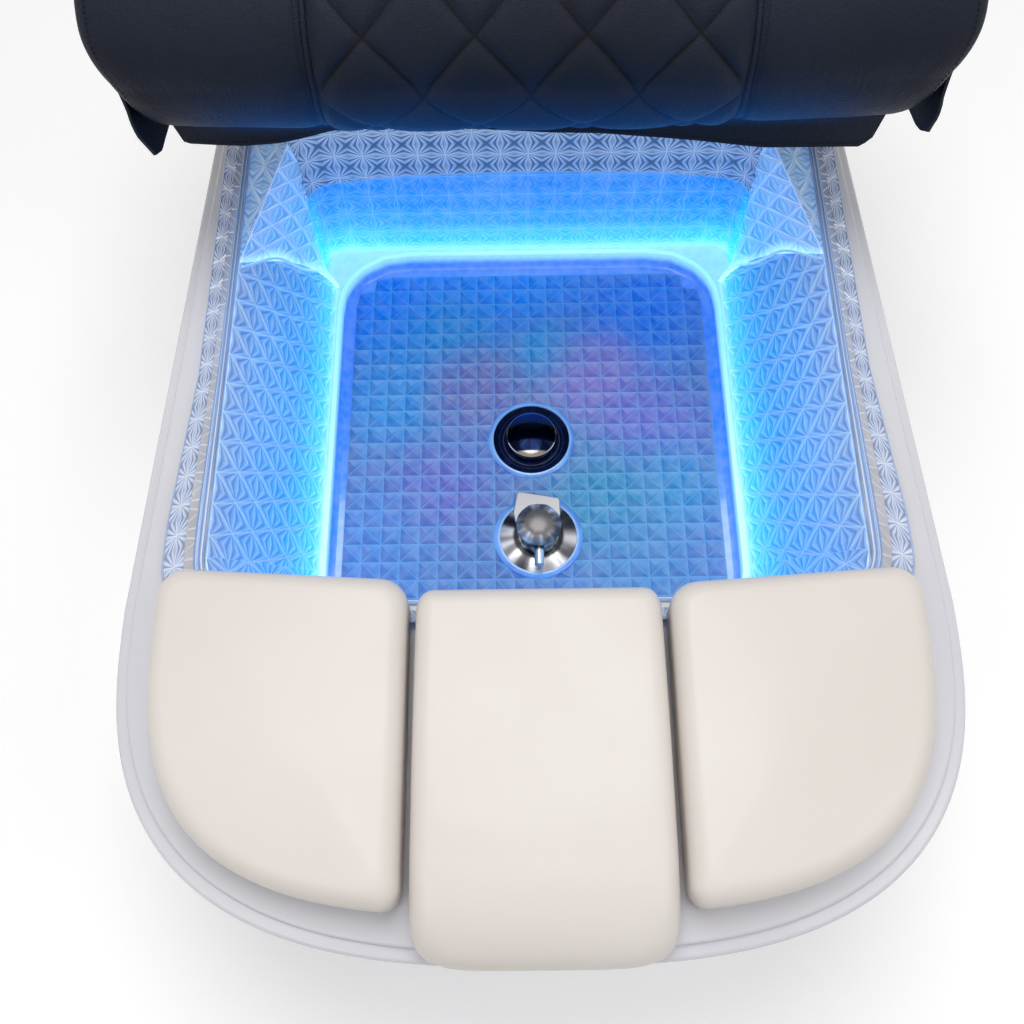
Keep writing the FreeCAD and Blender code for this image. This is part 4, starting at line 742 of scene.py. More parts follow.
crystals = {
    # glow: height above the ledge, colour, share
    "crystalWall": {"kind": "wall", "stops": [(0.0, "1cc4f4"), (0.25, "20b2f4"), (0.5, "46aef4"),
                                              (0.75, "66aaec"), (1.0, "88a6d4")],
                    "glow": (0.12, (0.05, 0.5, 0.62), 0.62), "pearl": (0.6, 0.82, 1.0)},
    "crystalBody": {"kind": "plain", "stops": [(0.0, "3a8cf0"), (0.3, "5fa4ee")],
                    "glow": (0.12, (0.05, 0.5, 0.62), 0.62), "cornerLit": True},
    "crystalFacet": {"kind": "wall", "stops": [(0.0, "4fd4f8"), (0.5, "64bdf6"), (1.0, "86b4ea")],
                     "glow": (0.12, (0.08, 0.55, 0.65), 0.5), "ribShadeColour": (0.10, 0.33, 0.62), "inner": 0.42,
                     "waveLit": True},
    "crystalShelf": {"kind": "wall", "stops": [(0.9, "7cb4f0"), (1.0, "86b6ee")], "edgeLight": 0.35,
                     "ribShade": 0.6, "ribShadeColour": (0.10, 0.32, 0.62), "inner": 0.27},
    "crystalBackLow": {"kind": "star", "stops": [(0.0, "3fd6fb"), (0.25, "12a4ff"), (0.65, "1486e6")],
                       "glow": (0.11, (0.05, 0.45, 0.62), 0.6), "ribShade": 0.35, "inner": 0.5,
                       "ribShadeColour": (0.005, 0.16, 0.5), "edgeLight": 0.25, "pearl": (0.5, 0.8, 1.0),
                       "cornerLit": True},
    "crystalBackHigh": {"kind": "star", "stops": [(0.5, "6aa0dc"), (1.0, "b4c4da")],
                        "glow": (0.1, (0.05, 0.45, 0.62), 0.2), "ribShade": 0.95,
                        "ribShadeColour": (0.06, 0.12, 0.24), "inner": 0.28, "pearl": (0.84, 0.93, 1.0)},
    "crystalFloorFinish": {"kind": "floor", "stops": [(0.0, "6684bc"), (1.0, "6684bc")],
                           "glow": (0.02, (0.02, 0.2, 0.5), 0.05), "clouds": floorClouds, "ior": 1.22,
                           "pearl": (0.22, 0.56, 0.86), "edgeLight": 0.36, "inner": 0.07,
                           "roughness": 0.3, "coat": 0.08},
    "crystalStars": {"kind": "star", "stops": [(0.0, "b0c0e2"), (1.0, "b6c4e2")], "pearl": (0.86, 0.9, 0.96),
                     "ribShade": 0.8, "ribShadeColour": (0.13, 0.17, 0.26), "inner": 0.14},
    "crystalWave": {"kind": "plain", "stops": [(0.0, "c9f6ff"), (1.0, "9fd0f0")],
                    "glow": (0.2, (0.3, 0.6, 0.7), 0.6)},
}


def floorMarks(s, t):
    # masks for the painted highlight along the raised lines, and for the painted light and shade of each
    # pressed quarter of a cell, by which way it slants
    fs, ft = s.part(), t.part()
    odd = ((s.whole() + t.whole()) * 0.5).part() * 2
    cross = abs(fs - ft) * (1 - odd) + abs(fs + ft - 1) * odd
    edge = fs.least(1 - fs).least(ft).least(1 - ft).least(cross * 0.7)
    turned = abs(ft - 0.5) - abs(fs - 0.5)
    slantShade = turned.rise(0.0, 0.03) * (ft - 0.5) + (-turned).rise(0.0, 0.03) * (fs - 0.5) * 0.9
    return 1 - edge.rise(0.010, 0.045), slantShade


def wallMarks(s, t, height):
    # masks for the painted highlight along the raised lines, stronger towards the rim, and for the leaves'
    # ribs
    fs, ft = s.part(), t.part()
    edge = fs.least(1 - fs).least(ft).least(1 - ft)
    across = fs + ft - 1
    fan = (fs - ft) / (1.001 - abs(across))
    ribs = abs(((fan + 1) * 2.5).part() - 0.5) * 2
    return (1 - edge.rise(0.012, 0.06)) * (0.45 + height * 0.75), ribs


def starMarks(s, t):
    # masks for the painted highlight along the lines, and for the sixteen rays round each node
    ds, dt = (s + 0.5).part() - 0.5, (t + 0.5).part() - 0.5
    turn = dt.angle(ds) * (8 / math.pi)
    away = ds * ds + dt * dt
    ribs = 1 - (1 - abs(turn.part() - 0.5) * 2) * (1.05 - away * 1.5)
    return 1 - abs(ds).least(abs(dt)).rise(0.006, 0.022), ribs


def cloudy(finish, base, vector, clouds):
    for place, reach, colour, share in clouds:
        away = finish.node("ShaderNodeVectorMath", {"operation": "DISTANCE"}, {0: vector, 1: place})
        away = Sock(finish, away.outputs["Value"]) + (finish.noise(vector, 14.0, 2.0) - 0.5) * reach * 0.5
        base = finish.mix((1 - away.rise(reach * 0.15, reach)) * share, base, colour)
    return base


def facetShine(y, z, height):
    # how near a point is to the wavy edge between a side wall and its rear facet
    low, high = bowl["plan"]["facetY"]
    front = low * mm - height * ((low - high) * mm)
    front = front + (height.most(0) ** bowl["facetPower"] * math.pi).sine() * (bowl["facetBulge"] * mm)
    turn = (z - bowl["ledgeTop"] * mm) * (2 * math.pi / (bowl["wavePitch"] * mm))
    front = front + turn.sine() * (bowl["waveSwing"] * mm)
    return 1 - (y - front).rise(0.001, 0.017)


def crystalFinish(name, kind, stops, glow=(0.01, (0, 0, 0), 0.0), clouds=(), pearl=(0.75, 0.86, 1.0),
                  edgeLight=0.5, roughness=0.16, ribShade=0.5, ribShadeColour=(0.03, 0.17, 0.5), inner=0.3,
                  coat=0.5, ior=1.5, cornerLit=False, waveLit=False):
    finish = Finish(name, coat=coat, coatRoughness=0.04, ior=ior, glowStrength=1.0)
    vector, x, y, z = finish.coordinates()
    _, s, t, _ = finish.coordinates("lattice")
    ledge = bowl["ledgeTop"] * mm
    height = (z - ledge) / ((bowl["top"] - bowl["ledgeTop"]) * mm)
    line, slantShade, ribs = z * 0, None, None
    if kind == "floor":
        line, slantShade = floorMarks(s, t)
    if kind == "wall":
        line, ribs = wallMarks(s, t, height)
    if kind == "star":
        line, ribs = starMarks(s, t)
    base = finish.ramp(height, stops)
    drift = finish.noise(vector, 6.0, 2.0)
    base = finish.mix(drift.rise(0.35, 0.7) * 0.2, base, finish.mix(0.5, base, pearl))
    base = cloudy(finish, base, vector, clouds)
    # painted light and shade on the floor's facets: lighter where they slant one way, darker where they slant
    # the other
    if slantShade is not None:
        base = finish.mix((slantShade.most(0) * 0.5).least(0.25), base, pearl)
        base = finish.mix(((-slantShade).most(0) * 0.8).least(0.35), base, (0.01, 0.09, 0.36))
    base = finish.mix(finish.cells(vector, 90.0).rise(0.1, 0.9) * 0.08, base, (1, 1, 1))
    # painted shade in the valleys between the leaves' ribs and the stars' rays, deeper near the ledge, and
    # painted highlight on them
    if ribs is not None:
        low = 1 - height.rise(0.0, 0.16)
        base = finish.mix(ribs.rise(0.45, 0.95) * (ribShade + low * 0.25), base, ribShadeColour)
        base = finish.mix((1 - ribs.rise(0.0, 0.4)) * ribShade * 0.6, base, pearl)
    # painted highlight along the raised lines
    base = finish.mix(line * edgeLight, base, pearl)
    # lit from the light strip round the ledge: wide above it, narrow at it and below it
    shineHeight, shineColour, shineShare = glow
    near = 1 - (z - ledge).most(0).rise(0.0, shineHeight)
    under = 1 - (ledge - mm - z).most(0).rise(0.0, 0.016)
    close = (1 - (z - ledge).most(0).rise(0.0, 0.022)) * under
    wide = finish.mix((near * near * under * shineShare).least(1.0), (0, 0, 0), shineColour)
    # painted glow: the sheet's own colour, times inner, added as light from within
    shine = finish.mix(1.0, finish.mix(inner, (0, 0, 0), base), wide, "ADD")
    shine = finish.mix((close * shineShare).least(1.0), shine, (0.42, 0.72, 0.80))
    if cornerLit:
        corner = abs(x).rise(0.244, 0.254) * y.rise(0.215, 0.225) * (1 - height.rise(0.1, 0.75))
        shine = finish.mix(corner * 0.85, shine, (0.02, 0.6, 0.9))
    if waveLit:
        shine = finish.mix(facetShine(y, z, height) * 0.8, shine, (0.42, 0.80, 0.88))
    return finish.put(base=base, roughness=roughness + finish.noise(vector, 40.0, 2.0) * 0.1, glow=shine,
                      normal=finish.bump(finish.noise(vector, 160.0, 2.0), 0.0002))


def onSides(make):
    for side, word in ((-1, "Left"), (1, "Right")):
        make(side, word)


def makeSideWalls(material):
    low, high = wallPlan(0), wallPlan(1)
    rise, spreadOut = bowl["top"] - bowl["ledgeTop"], high["half"] - low["half"]
    slope = math.hypot(rise, spreadOut)
    trims = levelTrims(crystal["lowTrim"], slope - crystal["highTrim"])
    trims += pathTrims([(low["front"] + low["radius"], 0), (high["front"] + high["radius"], slope)], -1)
    trims += pathTrims([(wallPlan(share)["facetY"], slope * share)
                        for share in (0, 0.15, 0.3, 0.45, 0.6, 0.8, 1.0)], 1)

    def make(side, word):
        def lay(u, v, h):
            share = v / slope
            return (side * (low["half"] + spreadOut * share - rise / slope * h), u,
                    bowl["ledgeTop"] + rise * share + spreadOut / slope * h)
        reliefSheet("crystalSide" + word, starLattice(**crystal["side"]), trims, lay, material)
    onSides(make)


def makeFacets(material):
    # the slanting faces between the side walls and the back wall
    slope = (bowl["top"] - bowl["ledgeTop"]) * crystal["facetSlope"]
    widths = []
    for plan in (wallPlan(0.0), wallPlan(1.0)):
        widths.append(math.hypot(plan["half"] - plan["cornerX"],
                                 plan["back"] - bowl["cornerRadius"] - plan["facetY"]))
    trims = levelTrims(crystal["lowTrim"], slope - crystal["highTrim"]) + [((1.0, 0), (-1, 0))]
    trims += pathTrims([(widths[0] - 1, 0), (widths[1] - 1, slope)], 1)

    def make(side, word):
        def lay(u, v, h):
            plan = wallPlan(v / slope)
            far = Vector((plan["half"], plan["facetY"], plan["z"]))
            near = Vector((plan["cornerX"], plan["back"] - bowl["cornerRadius"], plan["z"]))
            along = (near - far).normalized()
            place = far + along * u - Vector((along.y, -along.x, 0)).normalized() * h
            return (side * place.x, place.y, place.z)
        reliefSheet("crystalFacet" + word, starLattice(**crystal["facet"]), trims, lay, material)
    onSides(make)


def makeShelves(material):
    # the level corners between the facets' upper edges and the rim
    plan = wallPlan(1.0)
    across, along = plan["half"] - plan["cornerX"], plan["back"] - bowl["cornerRadius"] - plan["facetY"]
    chord = math.hypot(across, along)
    trims = [((plan["half"], plan["facetY"]), (-along / chord, -across / chord)), *crystal["shelfTrims"]]

    def make(side, word):
        reliefSheet("crystalShelf" + word, starLattice(**crystal["shelf"]), trims,
                    lambda u, v, h: (side * u, v, bowl["top"] - crystal["shelfDrop"] + h), material)
    onSides(make)


def makeBackWall(lowMaterial, highMaterial):
    rise, bend = bowl["top"] - bowl["ledgeTop"], bowl["cornerRadius"]
    back, backHigh = bowl["plan"]["back"]
    straight = wallPlan(0)["cornerX"] - bend
    half = straight + bend * math.pi / 2 - 0.5

    def lay(u, v, h):
        y = between(back, backHigh, v / rise)
        if abs(u) <= straight:
            return (u, y - h, bowl["ledgeTop"] + v)
        turn = (abs(u) - straight) / bend
        out = crystal["backLean"] * v / rise * math.sin(turn)
        return (math.copysign(straight + out + (bend - h) * math.sin(turn), u),
                y - bend + (bend - h) * math.cos(turn), bowl["ledgeTop"] + v)
    edge, dip, step, (reach, fall) = (crystal[key] for key in ("tier", "tierDip", "tierStep", "tierMiddle"))
    tier = [(-half, edge - dip), (-reach, edge - fall), (0, edge), (reach, edge - fall), (half, edge - dip)]
    reliefSheet("crystalBackLower", starburst(**crystal["backLow"]),
                levelTrims(crystal["lowTrim"], edge)[:1] + sideTrims(-half, half) + pathTrims(tier, -1),
                lambda u, v, h: lay(u, v, h + step), lowMaterial, depth=1.2 + step)
    reliefSheet("crystalBackUpper", starburst(**crystal["backHigh"]),
                levelTrims(edge - dip - 2.0, rise - crystal["highTrim"]) + sideTrims(-half, half), lay,
                highMaterial)


def makeFrontWall(material):
    low, high = wallPlan(0), wallPlan(1)
    rise, lean = bowl["top"] - bowl["ledgeTop"], high["front"] - low["front"]
    slope = math.hypot(rise, lean)
    levels = levelTrims(crystal["lowTrim"], slope - crystal["highTrim"])

    def lay(u, v, h):
        return (u, low["front"] + lean * v / slope + h * rise / slope,
                bowl["ledgeTop"] + rise * v / slope - h * lean / slope)
    ends = [(low["half"] - low["radius"], 0), (high["half"] - high["radius"], slope)]
    reliefSheet("crystalFront", starLattice(**crystal["front"]),
                levels + pathTrims(ends, 1) + pathTrims([(-u, v) for u, v in ends], -1), lay, material)
    run = crystal["cornerRun"]

    def make(side, word):
        def layCorner(u, v, h):
            plan = wallPlan(v / slope)
            x, y = turnedBy(90 * u / run, plan["radius"] - h)
            return (side * (plan["half"] - plan["radius"] + x), plan["front"] + plan["radius"] - y, plan["z"])
        reliefSheet("crystalCorner" + word, starLattice(**crystal["corner"]),
                    levels + sideTrims(0.3, run - 0.3)[::-1], layCorner, material)
    onSides(make)


def makeFloor(material):
    # square cells cut by one diagonal that joins the star nodes, each half pressed into a dimple
    half, front, rear, radius, _ = bowl["well"]
    margin, step, rise = crystal["floorMargin"], crystal["floorStep"], crystal["floorRise"]
    columns, rows = crystal["floorCells"]
    start = (-10 * step, crystal["floorRear"] - 20 * step)
    innerX, innerFront, innerRear = half - margin - radius, front + margin + radius, rear - margin - radius

    def fromCorner(u, v):
        # the nearest point of the straight-sided inner frame, and how far away it is
        centre = (math.copysign(innerX, u), min(max(v, innerFront), innerRear))
        return centre, math.dist((u, v), centre)

    def inside(u, v):
        centre, out = fromCorner(u, v)
        if abs(u) > half - margin or abs(v - (rear + front) / 2) > (rear - front) / 2 - margin:
            return False
        return abs(u) < innerX or innerFront < v < innerRear or out < radius

    def drawn(u, v):
        # back onto the rounded outline
        centre, out = fromCorner(u, v)
        if abs(u) <= innerX or out <= radius or centre[1] == v:
            return u, v
        return tuple(c + (place - c) * radius / out for c, place in zip(centre, (u, v)))
    patch = []
    for a in range(columns):
        for b in range(rows):
            u, v = start[0] + (a + 0.5) * step, start[1] + (b + 0.5) * step
            if not inside(u, v) or abs(u) >= crystal["floorReach"]:
                continue
            corners = [(a, b), (a + 1, b), (a + 1, b + 1), (a, b + 1)]
            turn = (a + b) % 2
            for trio in ((turn, turn + 1, turn + 2), (turn + 2, turn + 3, turn)):
                ends = [corners[k % 4] for k in trio]
                centre = (sum(p for p, _ in ends) / 3, sum(q for _, q in ends) / 3)
                for near, far in zip(ends, ends[1:] + ends[:1]):
                    patch.append([(*near, rise), (*far, rise), (*centre, rise - crystal["floorDimple"])])
    patch = [[(*drawn(u, v), h, s, t) for u, v, h, s, t in corner]
             for corner in spread(patch, (step, step), start)]
    for place, clear in crystal["clear"]:
        patch = clearRound(patch, *bowl[place][:2], clear)
    reliefSheet("crystalFloor", patch, [], lambda u, v, h: (u, v, bowl["floorTop"] + h), material, depth=0.6)


def clearRound(patch, x, y, radius):
    # leaves out the relief inside a circle, and draws what crosses it back to the circle
    kept = []
    for corner in patch:
        away = [math.hypot(point[0] - x, point[1] - y) for point in corner]
        if max(away) > radius:
            kept.append([(x + (u - x) * radius / gap, y + (v - y) * radius / gap, h, s, t) if 0 < gap < radius
                         else (u, v, h, s, t) for (u, v, h, s, t), gap in zip(corner, away)])
    return kept


band = {
    "rear": (322.0, 303.0, 85.0),
    "front": (334.0, -312.0, 60.0),
    "bends": [(322.0, -60.0), (334.0, -215.0)],
    "points": 480,
    # share from the opening to the outer edge, height
    "profile": [(0.0, 344.2), (0.0, 348.8), (0.03, 349.7), (0.07, 350.0), (0.12, 349.6), (0.16, 349.5),
                (0.2, 350.0), (0.24, 349.5), (0.3, 349.3), (0.94, 349.3), (0.97, 350.0), (0.99, 349.6),
                (1.0, 348.6), (1.0, 344.2)],
    "starLevel": 349.3,
    # raised darts between the stars: share along a cell at each end, then share across and height
    "darts": ((0.5, 0.38), (0.78, 0.86), (0.22, 0.02)), "dartEnds": ((0.47, 0.6), (0.26, 0.5)),
    "dartWide": 0.03, "dartFoot": 0.05,
}


def bandOutline():
    # the band's outer edge
    rearX, rearY, rearBend = band["rear"]
    frontX, frontY, frontBend = band["front"]
    right = [(rearX, rearY - rearBend), *band["bends"], (frontX, frontY + frontBend)]
    outer = list(right)
    outer += arcPoints(frontX - frontBend, frontY + frontBend, frontBend, 360, 270, 12)
    outer += arcPoints(frontBend - frontX, frontY + frontBend, frontBend, 270, 180, 12)
    outer += [(-x, y) for x, y in reversed(right)]
    outer += arcPoints(rearBend - rearX, rearY - rearBend, rearBend, 180, 90, 12)
    return outer + arcPoints(rearX - rearBend, rearY - rearBend, rearBend, 90, 0, 12)


def rimFinish():
    # clear acrylic: pale raised lines, their tops painted as highlights, blue between them, greyer towards
    # the front
    finish = Finish("crystalRimFinish", coat=0.5, coatRoughness=0.05)
    vector, _, y, z = finish.coordinates()
    tint = finish.mix(y.rise(-0.25, 0.2), "bdbbc2", "a9c0e8")
    tint = finish.mix(finish.noise(vector, 30.0, 3.0).rise(0.3, 0.7) * 0.35, tint, "8c8a8a")
    tint = finish.mix(z.rise(0.34936, 0.34948) * 0.8, tint, "5f93d8")
    tint = finish.mix(z.rise(0.34975, 0.34998) * 0.9, tint, "d3dcea")
    return finish.put(base=tint, roughness=0.14 + finish.noise(vector, 60.0, 2.0) * 0.12,
                      normal=finish.bump(finish.noise(vector, 240.0, 2.0), 0.0003))


def makeRimBand(material, starMaterial):
    outer = evenly(bandOutline(), band["points"])
    opening = roundedRect(*bowl["opening"])
    inner = [hitOutline(opening, bowl["middle"], point) for point in outer]
    rings = [[(between(a[0], b[0], share), between(a[1], b[1], share), z) for a, b in zip(inner, outer)]
             for share, z in band["profile"]]
    finished(loftRings("rimBand", rings, 50), "base", material, ["rim_band"])
    whole = sum(math.dist(a, b) for a, b in zip(outer, outer[1:] + outer[:1]))
    cells = int(round(whole / crystal["rimPitch"]))

    def lay(u, v, h):
        share = (u / cells) % 1.0 * len(outer)
        i = int(share) % len(outer)
        j, part = (i + 1) % len(outer), share - int(share)
        x, y = (between(between(inner[i][k], inner[j][k], part), between(outer[i][k], outer[j][k], part), v)
                for k in (0, 1))
        return (x, y, band["starLevel"] + h)
    patch = starburst((0, cells - 1), (0, 0), (1.0, 0.46), (0.5, 0.71), rise=1.3, low=0.1)
    wide, ((nearV, nearRise), (farV, farRise)) = band["dartWide"], band["dartEnds"]
    for a in range(cells):
        for low, high in band["darts"]:
            ends = [(a + low, nearV, nearRise), (a + high, farV, farRise)]
            ends += [(u + side, v, band["dartFoot"]) for side in (-wide, wide) for u, v, _ in ends[:2]]
            for trio in ((0, 1, 3), (0, 3, 2), (0, 4, 5), (0, 5, 1)):
                patch.append([(*ends[k], 0.0, 0.0) for k in trio])
    reliefSheet("rimStars", patch, [], lay, starMaterial, depth=0.3, wrap=cells,
                node="rim_band")


def makeFacetWaves(material):
    # the bright wavy edge between each side wall and its rear facet, a strip of painted glow
    def make(side, word):
        line = []
        for i in range(bowl["waveSteps"] + 1):
            plan = wallPlan(0.02 + 0.965 * i / bowl["waveSteps"])
            turn = 2 * math.pi * (plan["z"] - bowl["ledgeTop"]) / bowl["wavePitch"]
            line.append((side * (plan["half"] - 2.2), plan["facetY"] + bowl["waveSwing"] * math.sin(turn),
                         plan["z"]))
        finished(tubeAlong("facetWave" + word, line, bowl["waveWide"], 12, 0.55), "base", material)
    onSides(make)


def makeLedgeGlow():
    finish = Finish("ledgeLight", roughness=0.4, base=icy, glowStrength=1.0)
    level = finish.noise(finish.coordinates()[0], 5.0, 1.0).rise(0.25, 0.75)
    finish.put(glow=finish.mix(level, (0.10, 0.42, 0.62), (0.22, 0.55, 0.66)))
    base = wallRing(0.0, 0, bowl["ledgeTop"])
    rings = [ringLike(base, wellOutline(grow), bowl["ledgeTop"] + lift)
             for grow, lift in ((0.4, 0.1), (0.4, 1.0), (1.4, 1.6), (4.0, 1.6), (5.2, 1.2), (5.2, 0.1))]
    finished(loftRings("ledgeLight", rings, 50), "base", finish.material)


def makeCrystal():
    made = {name: crystalFinish(name, **values) for name, values in crystals.items()}
    makeBowl(made["crystalBody"])
    makeSideWalls(made["crystalWall"])
    makeFacets(made["crystalFacet"])
    makeShelves(made["crystalShelf"])
    makeBackWall(made["crystalBackLow"], made["crystalBackHigh"])
    makeFrontWall(made["crystalWall"])
    makeFloor(made["crystalFloorFinish"])
    makeRimBand(rimFinish(), made["crystalStars"])
    makeFacetWaves(made["crystalWave"])
    makeLedgeGlow()


makeCrystal()
print("crystal bowl made")

pads = {
    "top": 398.0, "bottom": 350.3, "crown": 3.0, "shoulder": 17.0,
    "inner": 110.0, "lipInset": 45.0, "frontInset": 36.0, "frontPower": 3.35, "frontSteps": 40,
    "rear": -293.0, "rearLeft": -283.0, "rearRight": -289.0, "rearSkew": 12.0,
    "rearCorner": 24.0, "frontCorner": 16.0, "leastCorner": 3.0,
    "outlinePoints": 200,
    "centreHalf": 103.0, "sideRound": 15.0, "noseFront": -590.0, "noseLength": 76.0, "noseRound": 30,
    # height, inset of the side pads' lower edge, then the shares of the crown's rings
    "edge": [(350.3, 4.0), (350.6, 2.2), (352.0, 0.8), (354.5, 0.1), (360.0, 0.0), (368.0, 0.0),
             (374.0, 0.0)],
    "crownRings": (0.97, 0.92, 0.85, 0.76, 0.66, 0.55, 0.44, 0.33, 0.22, 0.12, 0.04), "crownPower": 2.4,
    "places": [0, 12, 24, 36, 48, 58, 66, 74, 81],
    # the centre pad's turned-under nose: how far behind its front, height
    "hem": [(2, 343.5), (4, 342.2), (9, 342.0), (13, 342.1), (13, 346.0)],
}


def sidePadOutline(inset, z, edge):
    inner = pads["inner"] + inset
    half = shell["halfWidth"] - pads["lipInset"] - inset
    start, reach = shell["frontStart"], shell["frontReach"] - pads["frontInset"] - inset
    rear, outerRear = edge - inset, edge - inset + pads["rearSkew"]
    corner, frontCorner = (max(pads[key] - inset / 2, pads["leastCorner"])
                           for key in ("rearCorner", "frontCorner"))
    power = pads["frontPower"] / 2
    first = math.asin((max(0.0, start - outerRear + corner) / reach) ** power)
    last = math.acos(((inner + frontCorner) / half) ** power)
    curve = []
    for i in range(pads["frontSteps"] + 1):
        angle = between(first, last, i / pads["frontSteps"])
        curve.append((half * math.cos(angle) ** (1 / power), start - reach * math.sin(angle) ** (1 / power)))
    curve += arcPoints(inner + frontCorner, curve[-1][1] + frontCorner, frontCorner, 270, 180, 8)[1:]
    drop = pads["rearSkew"] / (half - inner) * corner * 0.5
    curve += arcPoints(inner + corner, rear - corner + drop, corner, 180, 90, 8)
    curve += arcPoints(half - corner, outerRear - corner - drop, corner, 90, 0, 8)
    return [(x, y, z) for x, y in evenly(curve, pads["outlinePoints"])]


def creamFinish():
    finish = Finish("creamVinyl", coatRoughness=0.12, coat=0.12, specular=0.45)
    vector, _, _, z = finish.coordinates()
    base = finish.mix(finish.noise(vector, 4.0, 3.0).rise(0.3, 0.8), "e0d8d1", "e6dfd9")
    # painted shade: the pads darker towards their lower edge, where they meet the deck
    base = finish.mix((1 - z.rise(0.352, 0.378)) * 0.3, base, "cdc5be")
    smear = finish.noise(finish.stretch(vector, (1.0, 0.6, 1.0)), 22.0, 3.0)
    grain = finish.cells(vector, 1500.0) * 0.06 + finish.noise(vector, 26.0, 2.0)
    return finish.put(base=base, roughness=0.36 + smear * 0.16, normal=finish.bump(grain, 0.0006))


def makeSidePad(side, word, material):
    shoulder, top = pads["shoulder"], pads["top"] - pads["crown"]
    levels = list(pads["edge"])
    for out, up in (turnedBy(degrees, shoulder) for degrees in range(8, 90, 8)):
        levels.append((top - shoulder + up, shoulder - out))
    rings = [sidePadOutline(inset, z, pads["rear" + word]) for z, inset in levels]
    last = rings[-1]
    middle = [sum(point[k] for point in last) / len(last) for k in (0, 1)]
    for k in pads["crownRings"]:
        z = last[0][2] + (top - last[0][2] + pads["crown"]) * (1 - k ** pads["crownPower"])
        rings.append([(between(middle[0], x, k), between(middle[1], y, k), z) for x, y, _ in last])
    rings = [[(side * x, y, z) for x, y, z in ring] for ring in rings]
    pad = loftEnds("footrestPad" + word, rings, 60)
    finished(pad, "pad_" + word.lower(), material, ["footrest_pad_" + word.lower()])


def centreSection(x, draw, nose):
    # the section along y at x: up the rear, over the top, down the nose and back underneath
    bottom, radius = pads["bottom"], pads["shoulder"]
    rear, front = pads["rear"] - draw * 0.8, pads["noseFront"] + nose
    top = pads["top"] - pads["crown"] - draw
    noseStart, noseLow = front + pads["noseLength"], bottom + 5.0
    line = [(rear, bottom + lift) for lift in (0, 8, 16)]
    line += [(rear - radius + y, top - radius + z) for y, z in (turnedBy(a, radius) for a in range(0, 91, 9))]
    for share in (i / 40 for i in range(1, 41)):
        line.append((between(rear - radius, noseStart, share),
                     top + pads["crown"] * (1 - (2 * share - 1) ** 2)))
    for y, z in (turnedBy(a, 1.0) for a in range(5, 91, 5)):
        line.append((noseStart - pads["noseLength"] * z, noseLow + (top - noseLow) * y))
    line += [(front + 0.5, noseLow - 4)] + [(front + y, z) for y, z in pads["hem"]]
    line += [(between(front + pads["hem"][-1][0], rear, i / 20), bottom) for i in range(20)]
    return [(x, y, z) for y, z in line]


def makeCentrePad(material):
    half, bend = pads["centreHalf"], pads["sideRound"]
    sections = []
    for x in pads["places"] + [half - bend + turnedBy(a, bend)[1] for a in range(0, 91, 10)]:
        over = max(0.0, x - (half - bend)) / bend
        draw = bend * (1 - math.sqrt(max(0.0, 1 - over * over)))
        nose = pads["noseRound"] * (1 - math.sqrt(max(0.0, 1 - (x / (half + 0.01)) ** 6)))
        sections.append((x, draw, nose))
    sections = [(-x, draw, nose) for x, draw, nose in reversed(sections[1:])] + sections
    pad = loftEnds("footrestPadCentre", [centreSection(*section) for section in sections], 60)
    finished(pad, "footrest", material, ["footrest_pad_centre"])


cream = creamFinish()
makeSidePad(1, "Right", cream)
makeSidePad(-1, "Left", cream)
makeCentrePad(cream)
print("pads made")


def stitchTree():
    # points along a curve, each with one thread on it
    tree = bpy.data.node_groups.new("stitchRow", "GeometryNodeTree")
    sockets = {"Geometry": "Geometry", "Spacing": "Float", "Thread Length": "Float", "Thread Radius": "Float",
               "Material": "Material"}
    for label, kind in sockets.items():
        tree.interface.new_socket(label, in_out="INPUT", socket_type="NodeSocket" + kind)
    tree.interface.new_socket("Geometry", in_out="OUTPUT", socket_type="NodeSocketGeometry")
    kinds = {
        "start": "NodeGroupInput", "end": "NodeGroupOutput", "points": "GeometryNodeCurveToPoints",
        "thread": "GeometryNodeMeshUVSphere", "size": "ShaderNodeCombineXYZ", "halfLength": "ShaderNodeMath",
        "spread": "GeometryNodeInstanceOnPoints", "solid": "GeometryNodeRealizeInstances",
        "paint": "GeometryNodeSetMaterial",
    }
    nodes = {name: tree.nodes.new(kind) for name, kind in kinds.items()}
    nodes["points"].mode = "LENGTH"
    nodes["halfLength"].operation = "MULTIPLY"
    nodes["halfLength"].inputs[1].default_value = 0.5
    for key, value in (("Segments", 6), ("Rings", 5), ("Radius", 1.0)):
        nodes["thread"].inputs[key].default_value = value
    links = (
        ("start", "Geometry", "points", "Curve"), ("start", "Spacing", "points", "Length"),
        ("start", "Thread Length", "halfLength", 0), ("start", "Thread Radius", "size", "X"),
        ("start", "Thread Radius", "size", "Y"), ("halfLength", 0, "size", "Z"),
        ("points", "Points", "spread", "Points"), ("points", "Rotation", "spread", "Rotation"),
        ("thread", "Mesh", "spread", "Instance"), ("size", "Vector", "spread", "Scale"),
        ("spread", "Instances", "solid", "Geometry"),
        ("solid", "Geometry", "paint", "Geometry"), ("start", "Material", "paint", "Material"),
        ("paint", "Geometry", "end", "Geometry"),
    )
    for source, output, target, socket in links:
        tree.links.new(nodes[source].outputs[output], nodes[target].inputs[socket])
    return tree


stitchGroup = stitchTree()


